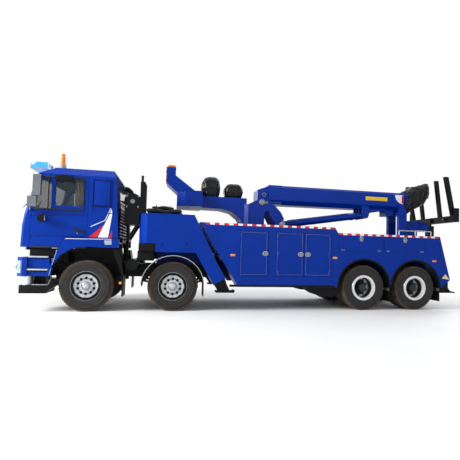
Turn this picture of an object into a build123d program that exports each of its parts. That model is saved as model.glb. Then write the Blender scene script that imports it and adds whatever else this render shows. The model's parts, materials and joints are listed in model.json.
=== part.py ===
"""Heavy twelve-wheel tow truck with a slewing boom, as it parks.

Frame: +X points to the rear, -Y is the truck's left side, +Z is up. The origin is on the ground
under the middle of the truck's length. All lengths are millimetres.
"""

import math
import os

from build123d import *

os.makedirs("parts", exist_ok=True)

# Named values shared by the whole truck
overrun = 20
fit_gap = 0.3
run_gap = 5
front_reach = 1370
rear_reach = 9230
first_axle_x = front_reach - (front_reach + rear_reach) / 2
steer_axle_gap = 1800
drive_axle_gap = 4575
tandem_gap = 1400
half_width = 1250
sides = (("left", -1), ("right", 1))


def at(reach):
    """The place along the truck of something this far behind the first axle."""
    return first_axle_x + reach


# Helpers that draw in the sketch or part that is open


def outline(points):
    with BuildLine() as edge:
        Polyline(*points, close=True)
    make_face(edge.edges())


def block(x, y, z, mode=Mode.ADD):
    """A box between two places on each axis."""
    with Locations(((x[0] + x[1]) / 2, (y[0] + y[1]) / 2, (z[0] + z[1]) / 2)):
        Box(abs(x[1] - x[0]), abs(y[1] - y[0]), abs(z[1] - z[0]), mode=mode)


def side_profile(points, y, mode=Mode.ADD):
    """A body whose outline is drawn in the side view, between two places across the truck."""
    with BuildSketch(Plane.XZ.offset(-max(y))) as profile:
        outline(points)
    extrude(profile.sketch, amount=abs(y[1] - y[0]), mode=mode)


def cross_profile(points, x, mode=Mode.ADD):
    """A body whose outline is drawn as seen from behind, between two places along the truck."""
    with BuildSketch(Plane.YZ.offset(min(x))) as profile:
        outline(points)
    extrude(profile.sketch, amount=abs(x[1] - x[0]), mode=mode)


def plan_profile(points, z, mode=Mode.ADD):
    """A body whose outline is drawn in the plan view, between two heights."""
    with BuildSketch(Plane.XY.offset(min(z))) as profile:
        outline(points)
    extrude(profile.sketch, amount=abs(z[1] - z[0]), mode=mode)


def rod_across(x, z, radius, y, mode=Mode.ADD):
    """A round bar or hole that runs across the truck."""
    with BuildSketch(Plane.XZ.offset(-max(y))) as profile:
        with Locations((x, z)):
            Circle(radius)
    extrude(profile.sketch, amount=abs(y[1] - y[0]), mode=mode)


def rod_along(y, z, radius, x, mode=Mode.ADD):
    """A round bar or hole that runs along the truck."""
    with BuildSketch(Plane.YZ.offset(min(x))) as profile:
        with Locations((y, z)):
            Circle(radius)
    extrude(profile.sketch, amount=abs(x[1] - x[0]), mode=mode)


def rod_upright(x, y, radius, z, mode=Mode.ADD):
    with BuildSketch(Plane.XY.offset(min(z))) as profile:
        with Locations((x, y)):
            Circle(radius)
    extrude(profile.sketch, amount=abs(z[1] - z[0]), mode=mode)


def save(piece, name):
    piece.part.label = name
    export_step(piece.part, f"parts/{name}.step")


# Wheels: one tyre and rim at each end of the steered axles, twins on the driven ones

tyre_radius = 545
tyre_width = 300
bead_radius = 262
wheel_z = tyre_radius
steer_track = 1030
twin_outer_track = 1065
twin_pitch = 340
twin_inner_track = twin_outer_track - twin_pitch
kingpin_y = 830
axle_x = (
    at(0),
    at(steer_axle_gap),
    at(steer_axle_gap + drive_axle_gap),
    at(steer_axle_gap + drive_axle_gap + tandem_gap),
)

# Columns: share of the sidewall height above the bead, share of the half width
tyre_section_shares = ((0, 0.8), (0.5, 1), (0.84, 0.96), (1, 0.74))

flange_radius = 305
flange_inset = 15
rim_wall = 12
hub_radius = 115
hub_bore = 40
cap_radius = 90
drum_radius = 200
disc_out = 95
disc_wall = 15
disc_foot = 45
bolt_circle = 168
bolt_hole = 21
bolt_count = 10
hub_inner = 115
twin_hub_out = 60


def wheel_axis(x):
    return Axis((x, 0, wheel_z), (0, 1, 0))


def tyre_ring(x, y):
    half = tyre_width / 2
    height = tyre_radius - bead_radius - fit_gap
    side = [(half * wide, wheel_z + bead_radius + fit_gap + height * up) for up, wide in tyre_section_shares]
    points = [(y + w, z) for w, z in side] + [(y - w, z) for w, z in reversed(side)]
    with BuildSketch(Plane.YZ.offset(x)) as section:
        outline(points)
    revolve(section.sketch, axis=wheel_axis(x))


def turned(x, y, sign, section):
    """Turns a section about the wheel's axle. Columns: distance outward from y, radius."""
    with BuildSketch(Plane.YZ.offset(x)) as half:
        outline([(y + sign * out, wheel_z + radius) for out, radius in section])
    revolve(half.sketch, axis=wheel_axis(x))


half_rim = tyre_width / 2
barrel_inner = bead_radius - rim_wall

# Section of a steered wheel, from the inner flange round the outside and back along the hub
steer_section = (
    (-half_rim, barrel_inner),
    (-half_rim, flange_radius),
    (-half_rim + flange_inset, bead_radius),
    (half_rim - flange_inset, bead_radius),
    (half_rim, flange_radius),
    (half_rim, barrel_inner),
    (disc_foot + disc_wall, barrel_inner),
    (disc_out + disc_wall, drum_radius + disc_wall),
    (disc_out + disc_wall, cap_radius),
    (disc_out + disc_wall + cap_radius / 2, cap_radius / 2),
    (disc_out + disc_wall + cap_radius / 2, 0),
    (disc_out, 0),
    (disc_out, hub_bore + fit_gap),
    (-hub_inner, hub_bore + fit_gap),
    (-hub_inner, drum_radius),
    (0, drum_radius),
    (0, hub_radius),
    (disc_out, hub_radius),
    (disc_out, drum_radius),
    (disc_foot, barrel_inner),
)

# Section of the twin wheels, measured outward from the middle between the two tyres
twin_half = twin_pitch / 2
twin_outer_edge = twin_half + half_rim
twin_section = (
    (twin_outer_edge, barrel_inner),
    (twin_outer_edge, flange_radius),
    (twin_outer_edge - flange_inset, bead_radius),
    (twin_half - half_rim + flange_inset, bead_radius),
    (twin_half - half_rim, flange_radius),
    (-twin_half + half_rim, flange_radius),
    (-twin_half + half_rim - flange_inset, bead_radius),
    (-twin_outer_edge + flange_inset, bead_radius),
    (-twin_outer_edge, flange_radius),
    (-twin_outer_edge, barrel_inner),
    (-disc_wall, barrel_inner),
    (-disc_wall, drum_radius),
    (-twin_outer_edge, drum_radius),
    (-twin_outer_edge, hub_bore + fit_gap),
    (twin_half + twin_hub_out, hub_bore + fit_gap),
    (twin_half + twin_hub_out, 0),
    (twin_half + twin_hub_out + disc_wall, 0),
    (twin_half + twin_hub_out + disc_wall, cap_radius),
    (twin_half, hub_radius),
    (disc_wall, hub_radius),
    (disc_wall, barrel_inner),
)

for side, sign in sides:
    for number, x in enumerate(axle_x, start=1):
        steered = number <= 2
        with BuildPart() as tyre:
            if steered:
                tyre_ring(x, sign * steer_track)
            else:
                tyre_ring(x, sign * twin_outer_track)
                tyre_ring(x, sign * twin_inner_track)
        save(tyre, f"tyre_{number}_{side}")

        with BuildPart() as rim:
            if steered:
                face_y = sign * (steer_track + disc_out + disc_wall)
                turned(x, sign * steer_track, sign, steer_section)
            else:
                face_y = sign * ((twin_outer_track + twin_inner_track) / 2 + disc_wall)
                turned(x, sign * (twin_outer_track + twin_inner_track) / 2, sign, twin_section)
            with BuildSketch(Plane.XZ.offset(-face_y)):
                with Locations((x, wheel_z)):
                    with PolarLocations(bolt_circle, bolt_count):
                        Circle(bolt_hole)
            extrude(amount=disc_wall * 2, both=True, mode=Mode.SUBTRACT)
        save(rim, f"rim_{number}_{side}")

# Knuckles: a yoke round the axle's end, the kingpin through it and the wheel's spindle

kingpin_radius = 25
beam_eye_radius = 38
beam_eye_height = 120
yoke_plate = 35
yoke_reach = 65
yoke_half = 60
yoke_web = 24
spindle_radius = hub_bore
spindle_tip = steer_track + disc_out - run_gap

for side, sign in sides:
    for number, x in enumerate(axle_x[:2], start=1):
        web = (sign * (kingpin_y + yoke_reach - yoke_web), sign * (kingpin_y + yoke_reach))
        low = wheel_z - beam_eye_height / 2 - fit_gap
        high = wheel_z + beam_eye_height / 2 + fit_gap
        with BuildPart() as knuckle:
            for z in ((low - yoke_plate, low), (high, high + yoke_plate)):
                rod_upright(x, sign * kingpin_y, yoke_half, z)
                block((x - yoke_half, x + yoke_half), (sign * kingpin_y, web[1]), z)
            block((x - yoke_half, x + yoke_half), web, (low - yoke_plate, high + yoke_plate))
            rod_upright(x, sign * kingpin_y, kingpin_radius, (low - yoke_plate, high + yoke_plate))
            rod_across(x, wheel_z, spindle_radius, (web[0], sign * spindle_tip))
        save(knuckle, f"knuckle_{number}_{side}")

# Chassis frame: two channel rails with cross members, horns and cab rests

frame_top = 1010
frame_depth = 300
frame_bottom = frame_top - frame_depth
rail_outer = 430
rail_flange = 80
rail_wall = 10
frame_front = -1250
frame_rear = 8500
member_depth = 150
member_length = 70
# Distances behind the first axle
member_places = (-1215, 1650, 2600, 3500, 4600, 5600, 7075, 8080)

cab_hinge_s = -1200
cab_hinge_z = 1200
hinge_ear = 45
hinge_pin = 20
cab_rest_s = 550
cab_rest_length = 65
cab_low_rear = 1570

with BuildPart() as chassis_frame:
    rail_points = (
        (rail_outer, frame_bottom),
        (rail_outer, frame_top),
        (rail_outer - rail_flange, frame_top),
        (rail_outer - rail_flange, frame_top - rail_wall),
        (rail_outer - rail_wall, frame_top - rail_wall),
        (rail_outer - rail_wall, frame_bottom + rail_wall),
        (rail_outer - rail_flange, frame_bottom + rail_wall),
        (rail_outer - rail_flange, frame_bottom),
    )
    cross_profile(rail_points, (at(frame_front), at(frame_rear)))
    mirror(about=Plane.XZ)
    member_z = (frame_top - rail_wall - member_depth, frame_top - rail_wall)
    for place in member_places:
        member_x = (at(place) - member_length / 2, at(place) + member_length / 2)
        block(member_x, (-rail_outer + rail_wall, rail_outer - rail_wall), member_z)
    for side, sign in sides:
        ear_y = (sign * (rail_outer - rail_flange), sign * rail_outer)
        ear_x = (at(cab_hinge_s) - hinge_ear, at(cab_hinge_s) + hinge_ear)
        block(ear_x, ear_y, (frame_top, cab_hinge_z))
        rod_across(at(cab_hinge_s), cab_hinge_z, hinge_ear, ear_y)
        rod_across(
            at(cab_hinge_s), cab_hinge_z, hinge_pin, (ear_y[0], sign * (rail_outer + hinge_ear + run_gap))
        )
        rest_x = (at(cab_rest_s), at(cab_rest_s) + cab_rest_length)
        block(rest_x, ear_y, (frame_top, cab_low_rear - fit_gap))
    rest_low = cab_low_rear - fit_gap - rail_flange
    block(rest_x, (-rail_outer, rail_outer), (rest_low, cab_low_rear - fit_gap))
save(chassis_frame, "chassis_frame")

# Engine as one block, radiator, gearbox and propeller shafts

engine_x = (-440, 530)
engine_half = 330
engine_z = (660, 1500)
radiator_x = (-660, -560)
radiator_half = 340
radiator_z = (760, 1300)
gearbox_length = 850
gearbox_radius = 190
gearbox_z = 870
shaft_radius = 55
shroud_share = 0.6

# Axles, springs and their brackets

beam_half_height = 55
beam_width = 90
beam_drop = 90
beam_level_half = 560
spring_y = (370, 450)
spring_half_length = 700
spring_thick = 70
spring_rise = 80
hanger_length = 80
drive_tube_radius = 75
diff_radius = 210
diff_half_length = 190
diff_half_width = 125
tandem_spring_gap = 30
tandem_spring_width = 90
tandem_spring_out = twin_inner_track - half_rim - tandem_spring_gap
tandem_spring_y = (tandem_spring_out - tandem_spring_width, tandem_spring_out)
trunnion_radius = 70
spring_pad = 12

with BuildPart() as axles_and_springs:
    beam_half_y = kingpin_y - kingpin_radius - run_gap
    for x in axle_x[:2]:
        low_z = wheel_z - beam_drop
        beam_points = (
            (-beam_half_y, wheel_z + beam_half_height),
            (-beam_half_y, wheel_z - beam_half_height),
            (-kingpin_y + yoke_half + run_gap, wheel_z - beam_half_height),
            (-beam_level_half, low_z - beam_half_height),
            (beam_level_half, low_z - beam_half_height),
            (kingpin_y - yoke_half - run_gap, wheel_z - beam_half_height),
            (beam_half_y, wheel_z - beam_half_height),
            (beam_half_y, wheel_z + beam_half_height),
            (beam_level_half, low_z + beam_half_height),
            (-beam_level_half, low_z + beam_half_height),
        )
        cross_profile(beam_points, (x - beam_width / 2, x + beam_width / 2))
        for side, sign in sides:
            eye_z = (wheel_z - beam_eye_height / 2, wheel_z + beam_eye_height / 2)
            rod_upright(x, sign * kingpin_y, beam_eye_radius, eye_z)
            rod_upright(x, sign * kingpin_y, kingpin_radius + fit_gap, eye_z, mode=Mode.SUBTRACT)
        seat_z = low_z + beam_half_height
        for side, sign in sides:
            leaf_points = (
                (x - spring_half_length, seat_z + spring_rise),
                (x - beam_width, seat_z),
                (x + beam_width, seat_z),
                (x + spring_half_length, seat_z + spring_rise),
                (x + spring_half_length, seat_z + spring_rise + spring_thick / 2),
                (x + beam_width, seat_z + spring_thick),
                (x - beam_width, seat_z + spring_thick),
                (x - spring_half_length, seat_z + spring_rise + spring_thick / 2),
            )
            leaf_y = (sign * spring_y[0], sign * spring_y[1])
            side_profile(leaf_points, leaf_y)
            for end in (-1, 1):
                eye_x = x + end * (spring_half_length - hanger_length / 2)
                hanger_x = (eye_x - hanger_length / 2, eye_x + hanger_length / 2)
                block(hanger_x, leaf_y, (seat_z + spring_rise, frame_bottom))
    tandem_x = (axle_x[2] + axle_x[3]) / 2
    for x in axle_x[2:]:
        tube_end = twin_inner_track - half_rim - run_gap
        rod_across(x, wheel_z, drive_tube_radius, (-tube_end, tube_end))
        rod_across(x, wheel_z, spindle_radius, (-twin_outer_track, twin_outer_track))
        rod_across(x, wheel_z, diff_radius, (-diff_half_width, diff_half_width))
        rod_along(0, wheel_z, diff_radius / 2, (x - diff_half_length - diff_radius / 2, x))
        for side, sign in sides:
            pad_y = (sign * tandem_spring_y[0], sign * tandem_spring_y[1])
            pad_x = (x - spring_thick, x + spring_thick)
            pad_reach = drive_tube_radius + spring_pad
            block(pad_x, pad_y, (wheel_z - pad_reach, wheel_z + pad_reach))
    for side, sign in sides:
        pack_y = (sign * tandem_spring_y[0], sign * tandem_spring_y[1])
        pad_top = wheel_z + drive_tube_radius + spring_pad
        pack_points = (
            (axle_x[2] - spring_thick, pad_top),
            (axle_x[3] + spring_thick, pad_top),
            (axle_x[3] + spring_thick, pad_top + spring_thick / 2),
            (tandem_x + spring_thick, pad_top + spring_thick * 2),
            (tandem_x - spring_thick, pad_top + spring_thick * 2),
            (axle_x[2] - spring_thick, pad_top + spring_thick / 2),
        )
        side_profile(pack_points, pack_y)
        bracket_x = (tandem_x - trunnion_radius * 2, tandem_x + trunnion_radius * 2)
        block(bracket_x, (sign * rail_outer, sign * tandem_spring_y[0]), (pad_top, frame_top - rail_flange))
    block((at(engine_x[0]), at(engine_x[1])), (-engine_half, engine_half), engine_z)
    block((at(radiator_x[0]), at(radiator_x[1])), (-radiator_half, radiator_half), radiator_z)
    shroud_x = (at(radiator_x[1]), at(engine_x[0]))
    rod_along(0, (radiator_z[0] + radiator_z[1]) / 2, radiator_half * shroud_share, shroud_x)
    gearbox_end = engine_x[1] + gearbox_length
    with BuildSketch(Plane.YZ.offset(at(engine_x[1]))):
        with Locations((0, gearbox_z)):
            Circle(gearbox_radius)
    with BuildSketch(Plane.YZ.offset(at(gearbox_end))):
        with Locations((0, gearbox_z)):
            Circle(shaft_radius * 2)
    loft()
    shaft_z = gearbox_z - gearbox_radius / 2
    shaft_rear = axle_x[2] - diff_half_length - diff_radius / 2
    rod_along(0, shaft_z, shaft_radius, (at(gearbox_end) - shaft_radius, shaft_rear - fit_gap))
    flange_z = wheel_z + diff_radius / 2
    block(
        (shaft_rear - shaft_radius * 2, shaft_rear - fit_gap),
        (-shaft_radius - overrun, shaft_radius + overrun),
        (wheel_z, shaft_z + shaft_radius + overrun),
    )
save(axles_and_springs, "axles_and_springs")

# Front bumper: a bent panel with a return on each side, lamp pockets and tow pin brackets

bumper_front = -1350
bumper_z = (740, 1130)
bumper_wall = 60
bumper_return = -1130
bumper_bevel = 130
bevel_share = 0.4
lamp_shift = (390, 60)
lamp_y = (half_width - lamp_shift[0], half_width - lamp_shift[1])
lamp_z = (800, 1060)
lamp_depth = 60
plate_half = 260
plate_z = (830, 950)
plate_depth = 8
tow_pin_y = 520
tow_ear_half = 60
tow_ear_plate = 50
tow_ear_gap = 30
tow_web = 10
tow_bore_radius = 24
tow_ear_z = 640
tow_ear_front = -1330
underrun_x = (-1270, -1150)
underrun_z = (390, 560)

# Fender's outline behind the first axle: the outside edge, then the arch from rear to front
fender_edge = ((-794, 750), (-548, 1340), (-448, 1560), (640, 1560), (640, 1370))
fender_arch_edge = ((350, 1365), (0, 1380), (-300, 1330), (-520, 1180), (-640, 980), (-690, 750))
fender_width = 55
fender_y = (half_width - fender_width, half_width)
fender_wall = 30
riser_inset = 45
riser_out = half_width - riser_inset
riser_end = -720
riser_levels = ((745, 835), (875, 1110))
carrier_radius = 26
carrier_z = 1470

with BuildPart() as front_bumper:
    bumper_outer = (
        (at(bumper_front), -half_width + bumper_bevel),
        (at(bumper_front + bumper_bevel), -half_width),
        (at(bumper_return), -half_width),
        (at(bumper_return), half_width),
        (at(bumper_front + bumper_bevel), half_width),
        (at(bumper_front), half_width - bumper_bevel),
    )
    plan_profile(bumper_outer, bumper_z)
    inner_bevel = bumper_bevel - bumper_wall * bevel_share
    bumper_inner = (
        (at(bumper_front + bumper_wall), -half_width + bumper_wall + inner_bevel),
        (at(bumper_front + bumper_wall + inner_bevel), -half_width + bumper_wall),
        (at(bumper_return) + overrun, -half_width + bumper_wall),
        (at(bumper_return) + overrun, half_width - bumper_wall),
        (at(bumper_front + bumper_wall + inner_bevel), half_width - bumper_wall),
        (at(bumper_front + bumper_wall), half_width - bumper_wall - inner_bevel),
    )
    plan_profile(bumper_inner, (bumper_z[0] - overrun, bumper_z[1] + overrun), mode=Mode.SUBTRACT)
    for side, sign in sides:
        pocket_x = (at(bumper_front) - overrun, at(bumper_front) + lamp_depth * 2)
        block(pocket_x, (sign * lamp_y[0], sign * (half_width + overrun)), lamp_z, mode=Mode.SUBTRACT)
        stay_x = (at(bumper_front + bumper_wall) - run_gap, at(frame_front))
        block(stay_x, (sign * (rail_outer - rail_flange), sign * rail_outer), (bumper_z[0], frame_top))
        for level in (tow_ear_z - tow_ear_gap / 2 - tow_ear_plate, tow_ear_z + tow_ear_gap / 2):
            ear_y = (sign * (tow_pin_y - tow_ear_half), sign * (tow_pin_y + tow_ear_half))
            block((at(tow_ear_front), at(frame_front)), ear_y, (level, level + tow_ear_plate))
        web_z = (tow_ear_z - tow_ear_gap / 2, bumper_z[0] + bumper_wall)
        web_x = (at(frame_front) - tow_web, at(frame_front))
        block(web_x, ear_y, web_z)
        block(web_x, (sign * rail_outer, ear_y[0]), (bumper_z[0], web_z[1]))
        pin_hole_x = at(tow_ear_front) + tow_ear_half / 2 + tow_bore_radius / 2
        hole_reach = tow_ear_gap / 2 + tow_ear_plate + overrun / 2
        hole_z = (tow_ear_z - hole_reach, tow_ear_z + hole_reach)
        rod_upright(pin_hole_x, sign * tow_pin_y, tow_bore_radius, hole_z, mode=Mode.SUBTRACT)
    plate_x = (at(bumper_front) - overrun, at(bumper_front) + plate_depth)
    block(plate_x, (-plate_half, plate_half), plate_z, mode=Mode.SUBTRACT)
    # Blue fenders over the first axle, and the risers between the steps
    for side, sign in sides:
        fender_points = [(at(s), z) for s, z in fender_edge + fender_arch_edge]
        side_profile(fender_points, (sign * fender_y[0], sign * fender_y[1]))
        riser_y = (sign * riser_out, sign * (riser_out - fender_wall))
        for riser_z in riser_levels:
            block((at(bumper_return) - overrun, at(riser_end)), riser_y, riser_z)
        carrier_y = (sign * (rail_outer + fit_gap), sign * (fender_y[1] - fender_wall))
        rod_across(at(cab_rest_s + cab_rest_length / 2), carrier_z, carrier_radius, carrier_y)
save(front_bumper, "front_bumper")

with BuildPart() as headlamps:
    lamp_front = -front_reach
    for side, sign in sides:
        lamp_points = (
            (at(lamp_front), sign * (lamp_y[0] + run_gap)),
            (at(lamp_front), sign * (half_width - bumper_bevel)),
            (at(bumper_front + bumper_bevel) - lamp_depth / 2, sign * (half_width + fit_gap)),
            (at(bumper_front) + lamp_depth * 2 - fit_gap, sign * (half_width - bumper_wall / 2)),
            (at(bumper_front) + lamp_depth * 2 - fit_gap, sign * (half_width - bumper_bevel)),
            (at(bumper_front) + lamp_depth, sign * (lamp_y[0] + lamp_depth)),
            (at(bumper_front) + lamp_depth, sign * (lamp_y[0] + run_gap)),
        )
        plan_profile(lamp_points, (lamp_z[0] + fit_gap, lamp_z[1] - fit_gap))
save(headlamps, "headlamps")

# Air intake behind the cab, on the left: filter drum on its box, and the snorkel

intake_inset = 130
intake_width = 560
intake_y = (-half_width + intake_inset, -half_width + intake_inset + intake_width)
intake_box_s = (715, 1030)
intake_box_z = (1890, 2260)
intake_drum_s = 878
intake_drum_z = 2400
intake_drum_radius = 180
intake_bore = 30
snorkel_s = (1035, 1170)
snorkel_width = 120
snorkel_y = (intake_y[0], intake_y[0] + snorkel_width)
snorkel_top = 2850
snorkel_slope = 40
snorkel_neck_s = 1068
snorkel_neck_radius = 28
snorkel_neck_top = 2990
snorkel_seat = 10
box_top = 2150
intake_leg = 60
strut_foot_s = 770
strut_foot_z = 1560
strut_wall = 40
body_rear_top = 1865
arch_radius = 715
body_bottom = 550
deck_rail_inset = 100
deck_rail_y = half_width - deck_rail_inset
deck_rail_z = 1985
deck_rail_radius = 14
deck_rail_s = (7360, 7820, 8270)
# Columns: behind the first axle, height
side_tank = ((4950, 549.7), (5010, 450), (5150, 370), (5400, 310), (5620, 310), (5700, 380), (5700, 549.7))
side_tank_inset = 110
side_tank_y = (700, half_width - side_tank_inset)

# Steps, mudguards, air tanks and the under-run bar, all black, on the chassis

step_x = (-1120, -760)
step_inset = 20
step_depth = 300
step_y = (half_width - step_inset - step_depth, half_width - step_inset)
step_levels = (560, 870, 1150)
step_plate = 30
step_back_y = step_y[0] + step_plate
fender_rear = 640
fender_top = 1560
guard_share = 3.2
guard_inner = 665
guard_wall = 12
guard_inset = 10
guard_y = (800, half_width - guard_inset)
flap_wall = 14
flap_low = 330
arch_guard_inner = 672
arch_guard_proud = 2
arch_guard_y = (1000, half_width + arch_guard_proud)
arch_flap_y = (760, half_width - guard_inset)
arch_flap_low = 215
tank_radius = 130
tank_z = 1010
tank_inset = 70
tank_y = (560, half_width - tank_inset)
tank_s = 915
stay_radius = 22
stay_angle = 38

with BuildPart() as chassis_fittings:
    for side, sign in sides:
        tread_y = (sign * step_y[0], sign * step_y[1])
        for level in step_levels:
            block((at(step_x[0]), at(step_x[1])), tread_y, (level - step_plate, level))
        back_y = (sign * step_back_y, sign * (step_back_y - step_plate))
        block((at(step_x[0]), at(step_x[1])), back_y, (step_levels[0] - step_plate, step_levels[2]))
        bracket_y = (sign * rail_outer, sign * step_back_y)
        bracket_z = (frame_bottom + rail_flange, frame_bottom + rail_flange * 2)
        block((at(step_x[1]) - step_plate * 3, at(step_x[1])), bracket_y, bracket_z)
        underrun_y = (sign * (tow_pin_y + tow_ear_half + run_gap), sign * step_y[1])
        block((at(underrun_x[0]), at(step_x[1])), underrun_y, underrun_z)
        hang_y = (sign * step_back_y, sign * (step_back_y - step_plate))
        hang_x = (at(underrun_x[1]), at(step_x[1]))
        block(hang_x, hang_y, (underrun_z[1] - overrun, step_levels[1]))
    # Half-round guards over the second steered axle
    for side, sign in sides:
        centre_x = axle_x[1]
        with BuildSketch(Plane.XZ.offset(-max(sign * guard_y[0], sign * guard_y[1]))):
            with Locations((centre_x, wheel_z)):
                Circle(guard_inner + guard_wall)
                Circle(guard_inner, mode=Mode.SUBTRACT)
            with Locations((centre_x, wheel_z - guard_inner)):
                Rectangle(guard_inner * 3, guard_inner * 2, mode=Mode.SUBTRACT)
        extrude(amount=guard_y[1] - guard_y[0])
        stay_s = at(steer_axle_gap)
        stay_y = (sign * rail_outer, sign * (guard_y[0] + overrun))
        for place in (-1, 1):
            stay_x = centre_x + place * (guard_inner + guard_wall) * math.cos(math.radians(stay_angle))
            stay_rise = (guard_inner + guard_wall) * math.sin(math.radians(stay_angle))
            stay_z = wheel_z + stay_rise - stay_radius / 2
            rod_across(stay_x, stay_z, stay_radius, stay_y)
        # Rear guard of the first axle and its flap
        rear_guard = (
            (at(fender_rear) - fender_wall * 4, fender_top - fender_wall * 8),
            (at(fender_rear) + fender_wall, fender_top - fender_wall * 8),
            (at(fender_rear) + fender_wall * 4, fender_top / 2),
            (at(fender_rear) + fender_wall * 4, flap_low),
            (at(fender_rear) + fender_wall * 3, flap_low),
            (at(fender_rear) + fender_wall * 3, fender_top / 2),
        )
        side_profile(rear_guard, (sign * guard_y[0], sign * fender_y[1]))
        guard_stay_y = (sign * rail_outer, sign * (guard_y[0] + overrun))
        guard_stay_x = at(fender_rear) + fender_wall * guard_share
        rod_across(guard_stay_x, frame_top - rail_flange, stay_radius, guard_stay_y)
        # Flap behind the second axle, hung from the guard's rear end
        flap_x = (axle_x[1] + guard_inner + fit_gap, axle_x[1] + guard_inner + flap_wall)
        block(flap_x, (sign * guard_y[0], sign * guard_y[1]), (flap_low, wheel_z + overrun))
        # Air tank between the steered axles
        rod_across(at(tank_s), tank_z, tank_radius, (sign * tank_y[0], sign * tank_y[1]))
        rod_across(at(tank_s), tank_z, stay_radius * 2, (sign * rail_outer, sign * tank_y[0]))
    # Half-round guards in the arches of the driven axles, each with its flap
    for side, sign in sides:
        guard_face = max(sign * arch_guard_y[0], sign * arch_guard_y[1])
        with BuildSketch(Plane.XZ.offset(-guard_face)) as arches:
            with Locations(*[(x, wheel_z) for x in axle_x[2:]]):
                Circle(arch_radius - fit_gap)
            with Locations(*[(x, wheel_z) for x in axle_x[2:]]):
                Circle(arch_guard_inner, mode=Mode.SUBTRACT)
            for x in axle_x[2:]:
                with Locations((x, wheel_z - arch_radius)):
                    Rectangle(arch_radius * 3, arch_radius * 2, mode=Mode.SUBTRACT)
        extrude(arches.sketch, amount=arch_guard_y[1] - arch_guard_y[0])
        for x in axle_x[2:]:
            flap_x = (x + arch_guard_inner, x + arch_guard_inner + flap_wall)
            block(flap_x, (sign * arch_flap_y[0], sign * arch_flap_y[1]), (arch_flap_low, wheel_z + overrun))
        # Round-bottomed tank under the lockers
        tank_points = [(at(s), z) for s, z in side_tank]
        side_profile(tank_points, (sign * side_tank_y[0], sign * side_tank_y[1]))
        # Rail along the edge of the rear deck
        rail_y = sign * deck_rail_y
        rod_along(rail_y, deck_rail_z, deck_rail_radius, (at(deck_rail_s[0]), at(deck_rail_s[-1])))
        for s in deck_rail_s:
            rod_upright(at(s), rail_y, deck_rail_radius, (body_rear_top + fit_gap, deck_rail_z))
    block((at(intake_box_s[0]), at(intake_box_s[1])), intake_y, intake_box_z)
    rod_across(at(intake_drum_s), intake_drum_z, intake_drum_radius, intake_y)
    eye_depth = (intake_y[0] - overrun, intake_y[0] + intake_bore * 2)
    rod_across(at(intake_drum_s), intake_drum_z, intake_bore, eye_depth, mode=Mode.SUBTRACT)
    snorkel_points = (
        (at(snorkel_s[0]), box_top - snorkel_seat + fit_gap),
        (at(snorkel_s[1]), box_top - snorkel_seat + fit_gap),
        (at(snorkel_s[1]), snorkel_top - snorkel_slope * 2),
        (at(snorkel_s[1]) - snorkel_slope, snorkel_top),
        (at(snorkel_s[0]), snorkel_top),
    )
    side_profile(snorkel_points, snorkel_y)
    neck_y = (snorkel_y[0] + snorkel_y[1]) / 2
    neck_z = (snorkel_top, snorkel_neck_top)
    rod_upright(at(snorkel_neck_s), neck_y, snorkel_neck_radius, neck_z)
    leg_x = (at(intake_box_s[0]), at(intake_box_s[0]) + intake_leg)
    leg_y = (intake_y[1] - intake_leg, intake_y[1])
    block(leg_x, leg_y, (frame_top - rail_flange, intake_box_z[0]))
    foot_z = (frame_top - rail_flange * 2, frame_top - rail_flange)
    block(leg_x, (leg_y[0], -rail_outer), foot_z)
    # Slanted struts under the intake's box
    for across in (intake_y[0], leg_y[0]):
        strut_points = (
            (at(intake_box_s[1]) - intake_leg, intake_box_z[0] + overrun),
            (at(intake_box_s[1]), intake_box_z[0] + overrun),
            (at(strut_foot_s) + intake_leg, strut_foot_z),
            (at(strut_foot_s), strut_foot_z),
        )
        side_profile(strut_points, (across, across + strut_wall))
    shelf_x = (at(intake_box_s[0]), at(strut_foot_s) + intake_leg)
    block(shelf_x, (intake_y[0], leg_y[1]), (strut_foot_z - overrun, strut_foot_z + overrun))
save(chassis_fittings, "chassis_fittings")

# Locker bodies: the long side boxes with wheel arches and three side-hinged doors each

body_inner = 650
body_top = 1995
body_front_top = 2350
body_front_low = 3260
body_step_s = (5580, 5670)
body_arch_entry = 5660
body_rear_top_s = 8460
body_rear_low_s = 8760
body_rear_low_z = 760
door_thick = 25
door_gap = 6
door_z = (800, 1840)
# Columns: front edge, rear edge, behind the first axle, and the end that carries the hinge
locker_doors = ((3270, 3940, "front"), (4130, 4805, "front"), (4815, 5490, "rear"))
pocket_inset = 35
hinge_barrel = 12
# Heights of the hinges on a locker door, and of those on a cab door
locker_hinges = ((960, 1060), (1580, 1680))
cab_hinges = ((1500, 1600), (1960, 2060))
pocket_depth = 480
# Columns: front edge, rear edge of the fixed flaps above the rear wheels
flap_spans = ((5700, 6860), (6900, 8040))
flap_z = (1440, 1780)
groove = 8
rear_leg_s = 8585
rear_leg_inset = 150
rear_leg_y = half_width - rear_leg_inset
rear_leg_half = 62
rear_leg_wide = 80
rear_leg_top = 1085
rear_leg_gap = 2


def body_points():
    return (
        (at(body_front_top), body_top),
        (at(body_front_low), body_bottom),
        (at(body_arch_entry), body_bottom),
        (axle_x[2], body_bottom),
        (axle_x[3], body_bottom),
        (axle_x[3] + arch_radius, body_bottom),
        (at(body_rear_low_s), body_rear_low_z),
        (at(body_rear_top_s), body_rear_top),
        (at(body_step_s[1]), body_rear_top),
        (at(body_step_s[0]), body_top),
    )


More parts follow.
